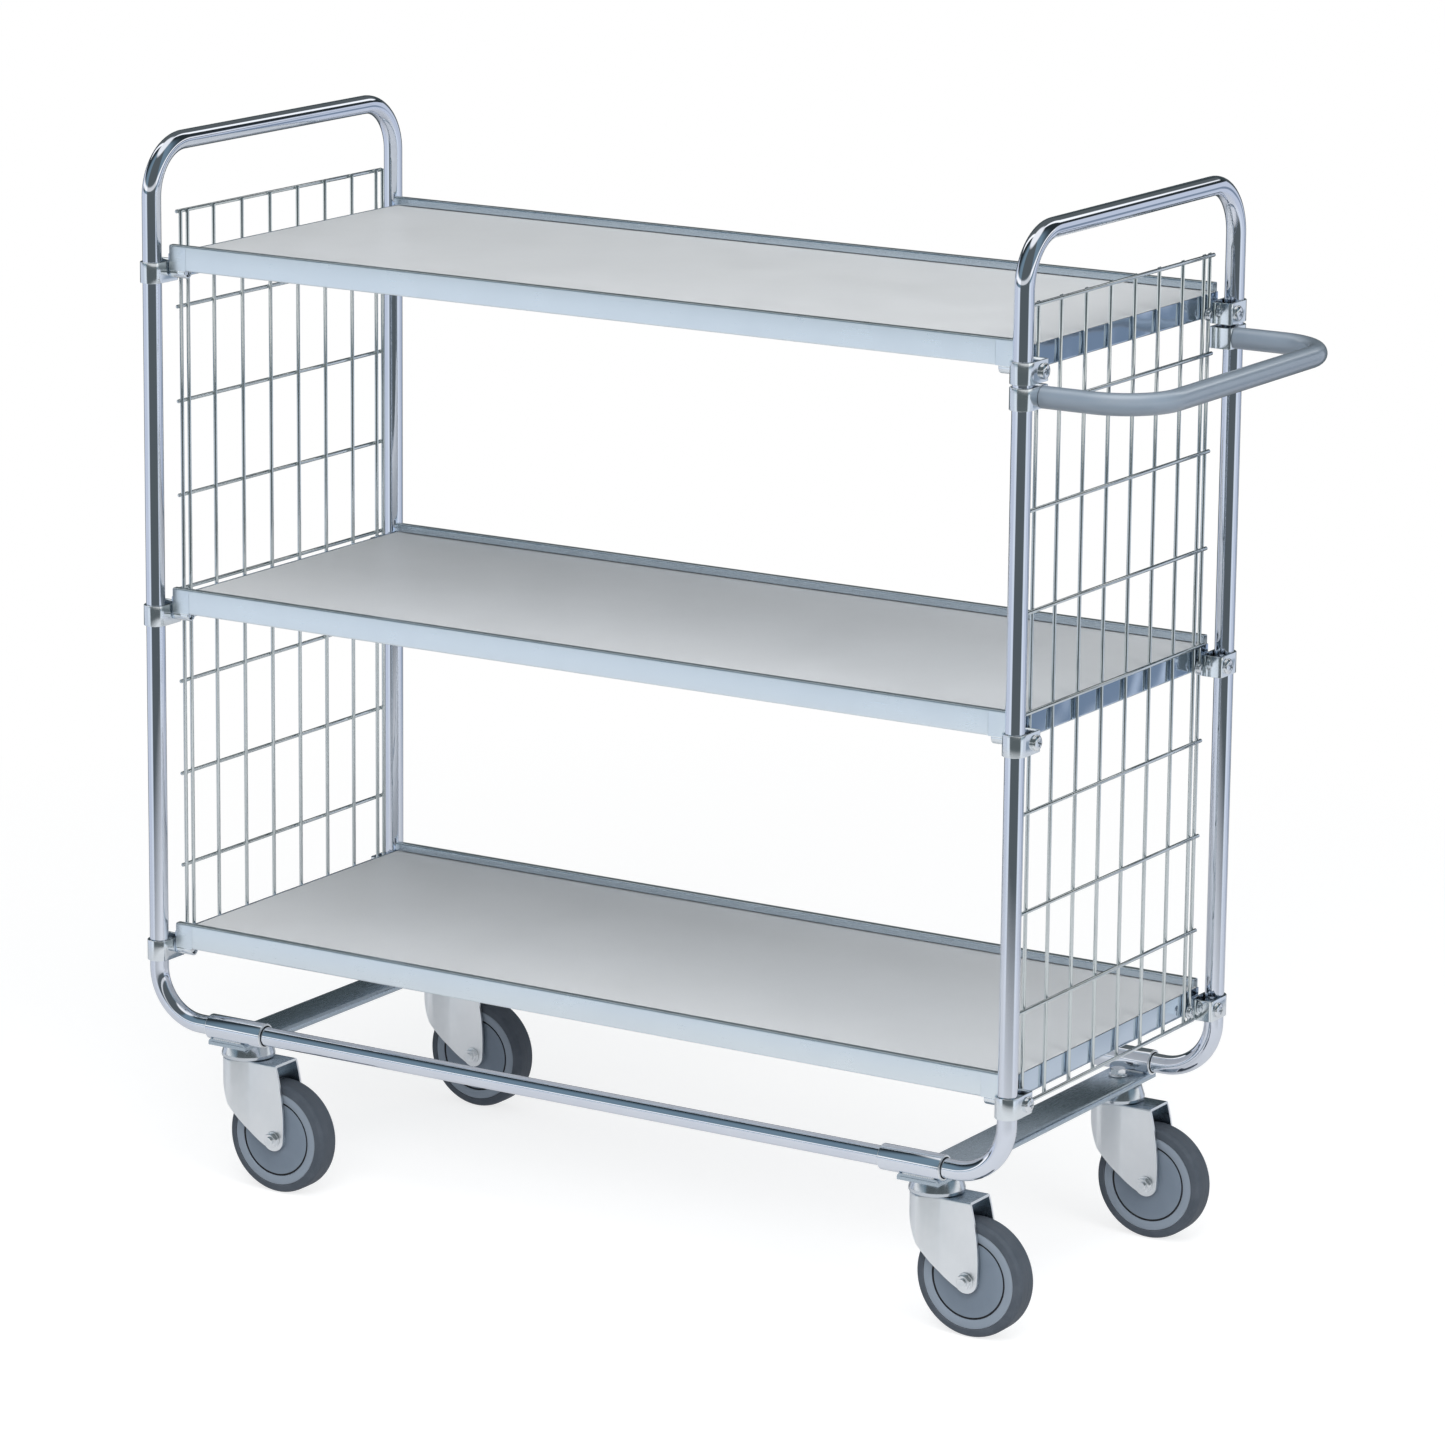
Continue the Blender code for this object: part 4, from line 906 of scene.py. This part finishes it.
def rim_shape():
    """Moulded rim: flush outer ring, thin groove with a near-black painted shadow, dished disc and hub boss.
    """
    half = [(0.0043, 0.0162), (0.0050, 0.0167), (0.0104, 0.0167), (0.0110, 0.0161), (0.0113, 0.0143),
            (0.0124, 0.0136), (0.0200, 0.0135), (0.0386, 0.0138), (0.0391, 0.0137), (0.0393, 0.0133),
            (0.0394, 0.0127), (0.0411, 0.0127), (0.0412, 0.0136), (0.0415, 0.0142), (0.0420, 0.0144),
            (0.0500, 0.0146), (0.0505, 0.0144), (0.0507, 0.0140)]
    # The groove's bands take the painted shadow
    disc, groove, ring = [0] * 9, [1] * 3, [2] * 6
    slots = disc + groove + ring
    return lathe(mirrored(half), 120, "Y", True, slots + slots[-2::-1] + [0])


def make_casters():
    cup, king, axle, fork = cup_shape(), king_shape(), axle_shape(), make_fork_shape()
    tyre, rim = tyre_shape(), rim_shape()
    for side_word, side in SIDES:
        for face_word, face in FACES:
            tag = "%s_%s" % (side_word, face_word)
            spot = PLACED @ at(side * KING_X, face * KING_Y, 0)
            hub = spot @ at(TRAIL, 0, AXLE_Z)
            head = ["caster_head_" + tag]
            piece("caster_cup_" + tag, cup, "cup", "frame", head, "pressed_zinc", spot)
            piece("caster_king_" + tag, king, "screw", "frame", head, "pressed_zinc", spot, angle=25)
            pressing = piece("fork_pressing_" + tag, fork, "pressed member inside", "fork_" + tag,
                             ["caster_fork_" + tag], "pressed_zinc", spot, bevel=0.0003, angle=40)
            # Painted shade: the legs' inward faces take the darker member zinc, and the faces on top the
            # darker painted-shade zinc
            for polygon in pressing.data.polygons:
                inward = polygon.normal.y * (polygon.center.y - face * KING_Y)
                if abs(polygon.normal.y) > 0.7 and inward < 0:
                    polygon.material_index = 1
                elif polygon.normal.z > 0.7:
                    polygon.material_index = 2
            piece("axle_bolt_" + tag, axle, "pressed", "fork_" + tag, ["caster_axle_" + tag],
                  "zinc_fastener", hub, angle=25)
            piece("tyre_ring_" + tag, tyre, "rubber", "wheel_" + tag, ["wheel_tyre_" + tag],
                  "grey_rubber", hub)
            piece("rim_disc_" + tag, rim, "nylon groove ring", "wheel_" + tag, ["wheel_rim_" + tag],
                  "grey_nylon", hub, angle=28)


# Stage: floor, world, light and camera
def make_floor():
    """A white floor that keeps a soft shadow and fades into the white ground further out."""
    size, fade_start, fade_end = 14.0, 0.9, 2.2
    mesh = bpy.data.meshes.new("floor")
    mesh.from_pydata([(-size, -size, 0), (size, -size, 0), (size, size, 0), (-size, size, 0)], [],
                     [(0, 1, 2, 3)])
    floor = bpy.data.objects.new("floor", mesh)
    floor.location.z = -0.0004
    bpy.context.scene.collection.objects.link(floor)
    made = Finish("pale_floor", (FLOOR_PAINT,) * 3, 0.9, Specular_IOR_Level=0.0)
    made.colour(made.mix(made.noise(3, detail=4), (FLOOR_PAINT * 0.985,) * 3, (FLOOR_PAINT * 1.015,) * 3))
    made.bump(made.noise(160), 0.02, 0.0002)
    path = made.node("ShaderNodeLightPath")
    seen = path.outputs["Is Camera Ray"]
    bounce = made.span(path.outputs["Is Glossy Ray"], 0, 1, FLOOR_BOUNCE, FLOOR_SHEEN)
    unseen = made.math("SUBTRACT", 1.0, seen)
    strength = made.math("ADD", made.times(seen, FLOOR_LIFT), made.times(unseen, bounce))
    glow = made.wired("ShaderNodeEmission", 0, {"Color": made.mix(seen, (0.93, 0.95, 1.0), WHITE),
                                                "Strength": strength})
    near = made.wired("ShaderNodeAddShader", 0, {0: made.shader.outputs[0], 1: glow})
    beyond = made.wired("ShaderNodeMixShader", 0, {
        0: seen, 1: made.node("ShaderNodeBsdfTransparent").outputs[0],
        2: made.node("ShaderNodeEmission").outputs[0]})
    place = made.node("ShaderNodeNewGeometry").outputs["Position"]
    distance = made.wired("ShaderNodeVectorMath", "Value", {0: place}, operation="LENGTH")
    total = made.wired("ShaderNodeMixShader", 0, {
        0: made.span(distance, fade_start, fade_end, 0, 1), 1: near, 2: beyond})
    made.feed(total, made.tree.nodes["Material Output"].inputs["Surface"])
    mesh.materials.append(made.material)


def make_world():
    """White to the eye. Metal sees a pale ground, a lit strip round the room and dark above it.

    Facing runs from 1 on the camera's side of the room to -1 on the far side, and z from floor to ceiling.
    """
    world = bpy.data.worlds.new("studio")
    bpy.context.scene.world = world
    world.use_nodes = True
    world.node_tree.nodes.clear()
    sky = Nodes(world.node_tree, "SMOOTHSTEP")
    span, times, mix, math = sky.span, sky.times, sky.mix, sky.math
    split = sky.node("ShaderNodeSeparateXYZ")
    sky.feed(sky.node("ShaderNodeTexCoord").outputs["Generated"], split.inputs[0])
    x, y, z = split.outputs
    flat = math("SQRT", math("ADD", times(x, x), math("ADD", times(y, y), 1e-5)))
    facing = math("DIVIDE", math("ADD", times(x, sin(AZ)), times(y, -cos(AZ))), flat)
    ground = span(z, -0.02, 0.0, 1, 0)
    strip = times(span(z, 0.06, 0.08, 0, 1), span(z, 0.16, 0.24, 1, 0))
    far = span(facing, -0.40, -0.32, 1, 0)
    far_wall = times(far, span(z, 0.21, 0.25, 1, 0))
    far_sheen = times(far, times(span(facing, -0.60, -0.56, 1, 0), span(z, 0.38, 0.42, 0, 1)))
    dark_back = times(span(facing, -0.80, -0.73, 1, 0), 0.95)
    dark_end = times(span(facing, -0.60, -0.54, 0, 1), span(facing, -0.38, -0.30, 1, 0))
    dark_end = times(dark_end, times(span(x, 0.0, 0.1, 0, 1), span(z, -0.16, -0.12, 1, 0)))
    dark_end = times(times(dark_end, span(z, -0.36, -0.30, 0, 1)), 0.8)
    dark_side = times(span(facing, cos(radians(54)), cos(radians(45)), 0, 1),
                      math("SUBTRACT", 1.0, times(strip, 0.6)))
    overhead = span(z, 0.88, 0.95, 0, 1)
    pale = mix(span(facing, 0.15, 0.35, 0, 1), (0.60, 0.65, 0.75), (0.74, 0.80, 0.88))
    room = mix(span(facing, -0.3, 0.3, 0, 1), (0.024, 0.032, 0.036), (0.17, 0.25, 0.31))
    for mask, tone in ((ground, pale), (strip, (1.1, 1.1, 1.1)), (far_wall, (0.60, 0.65, 0.75)),
                       (far_sheen, (1.2, 1.2, 1.2)), (dark_back, (0.05, 0.066, 0.07)),
                       (dark_end, (0.13, 0.19, 0.27)), (dark_side, (0.10, 0.118, 0.125)), (overhead, WHITE)):
        room = mix(mask, room, tone)
    seen = sky.node("ShaderNodeLightPath").outputs["Is Camera Ray"]
    background = sky.wired("ShaderNodeBackground", 0, {"Color": mix(seen, room, WHITE), "Strength": 1.0})
    sky.feed(background, sky.node("ShaderNodeOutputWorld").inputs["Surface"])


def make_lights():
    """Three large soft lamps: name, place, height of the aim, size, power and colour."""
    for name, place, height, size, power, colour in (
            ("soft_top", (1.5, -1.7, 3.5), 0.5, 3.0, 73, WHITE),
            ("soft_front", (1.0, -3.6, 3.0), 0.6, 2.4, 84, (0.98, 0.99, 1.0)),
            ("soft_right", (3.7, -1.2, 2.0), 0.6, 2.2, 58, (0.98, 0.99, 1.0))):
        light = bpy.data.lights.new(name, "AREA")
        light.shape, light.size, light.size_y = "RECTANGLE", size, size
        light.energy, light.color = power, colour
        made = bpy.data.objects.new(name, light)
        made.location = place
        made.rotation_euler = (Vector((0, 0, height)) - Vector(place)).to_track_quat("-Z", "Y").to_euler()
        made.visible_glossy = False
        bpy.context.scene.collection.objects.link(made)


def make_camera():
    right = Vector((cos(AZ), sin(AZ), 0))
    up = BACK.cross(right)
    across = right * cos(ROLL) + up * sin(ROLL)
    above = up * cos(ROLL) - right * sin(ROLL)
    camera = bpy.data.cameras.new("camera")
    camera.sensor_width, camera.lens, camera.clip_end = SENSOR, LENS, 60
    camera.shift_x, camera.shift_y = LENS_SHIFT
    made = bpy.data.objects.new("camera", camera)
    turned = Matrix((across, above, BACK)).transposed().to_4x4()
    made.matrix_world = Matrix.Translation(AIM + BACK * DISTANCE) @ turned
    bpy.context.scene.collection.objects.link(made)
    bpy.context.scene.camera = made


make_camera()
make_end_frames()
make_rails()
make_members()
make_meshes()
for shelf, height in LEVELS.items():
    make_board(shelf, height)
    make_profiles(shelf, height)
    make_ends(shelf, height)
    make_clamps(shelf, height)
make_handle()
make_casters()
make_floor()
make_world()
make_lights()
bpy.context.scene.view_settings.view_transform = "Standard"
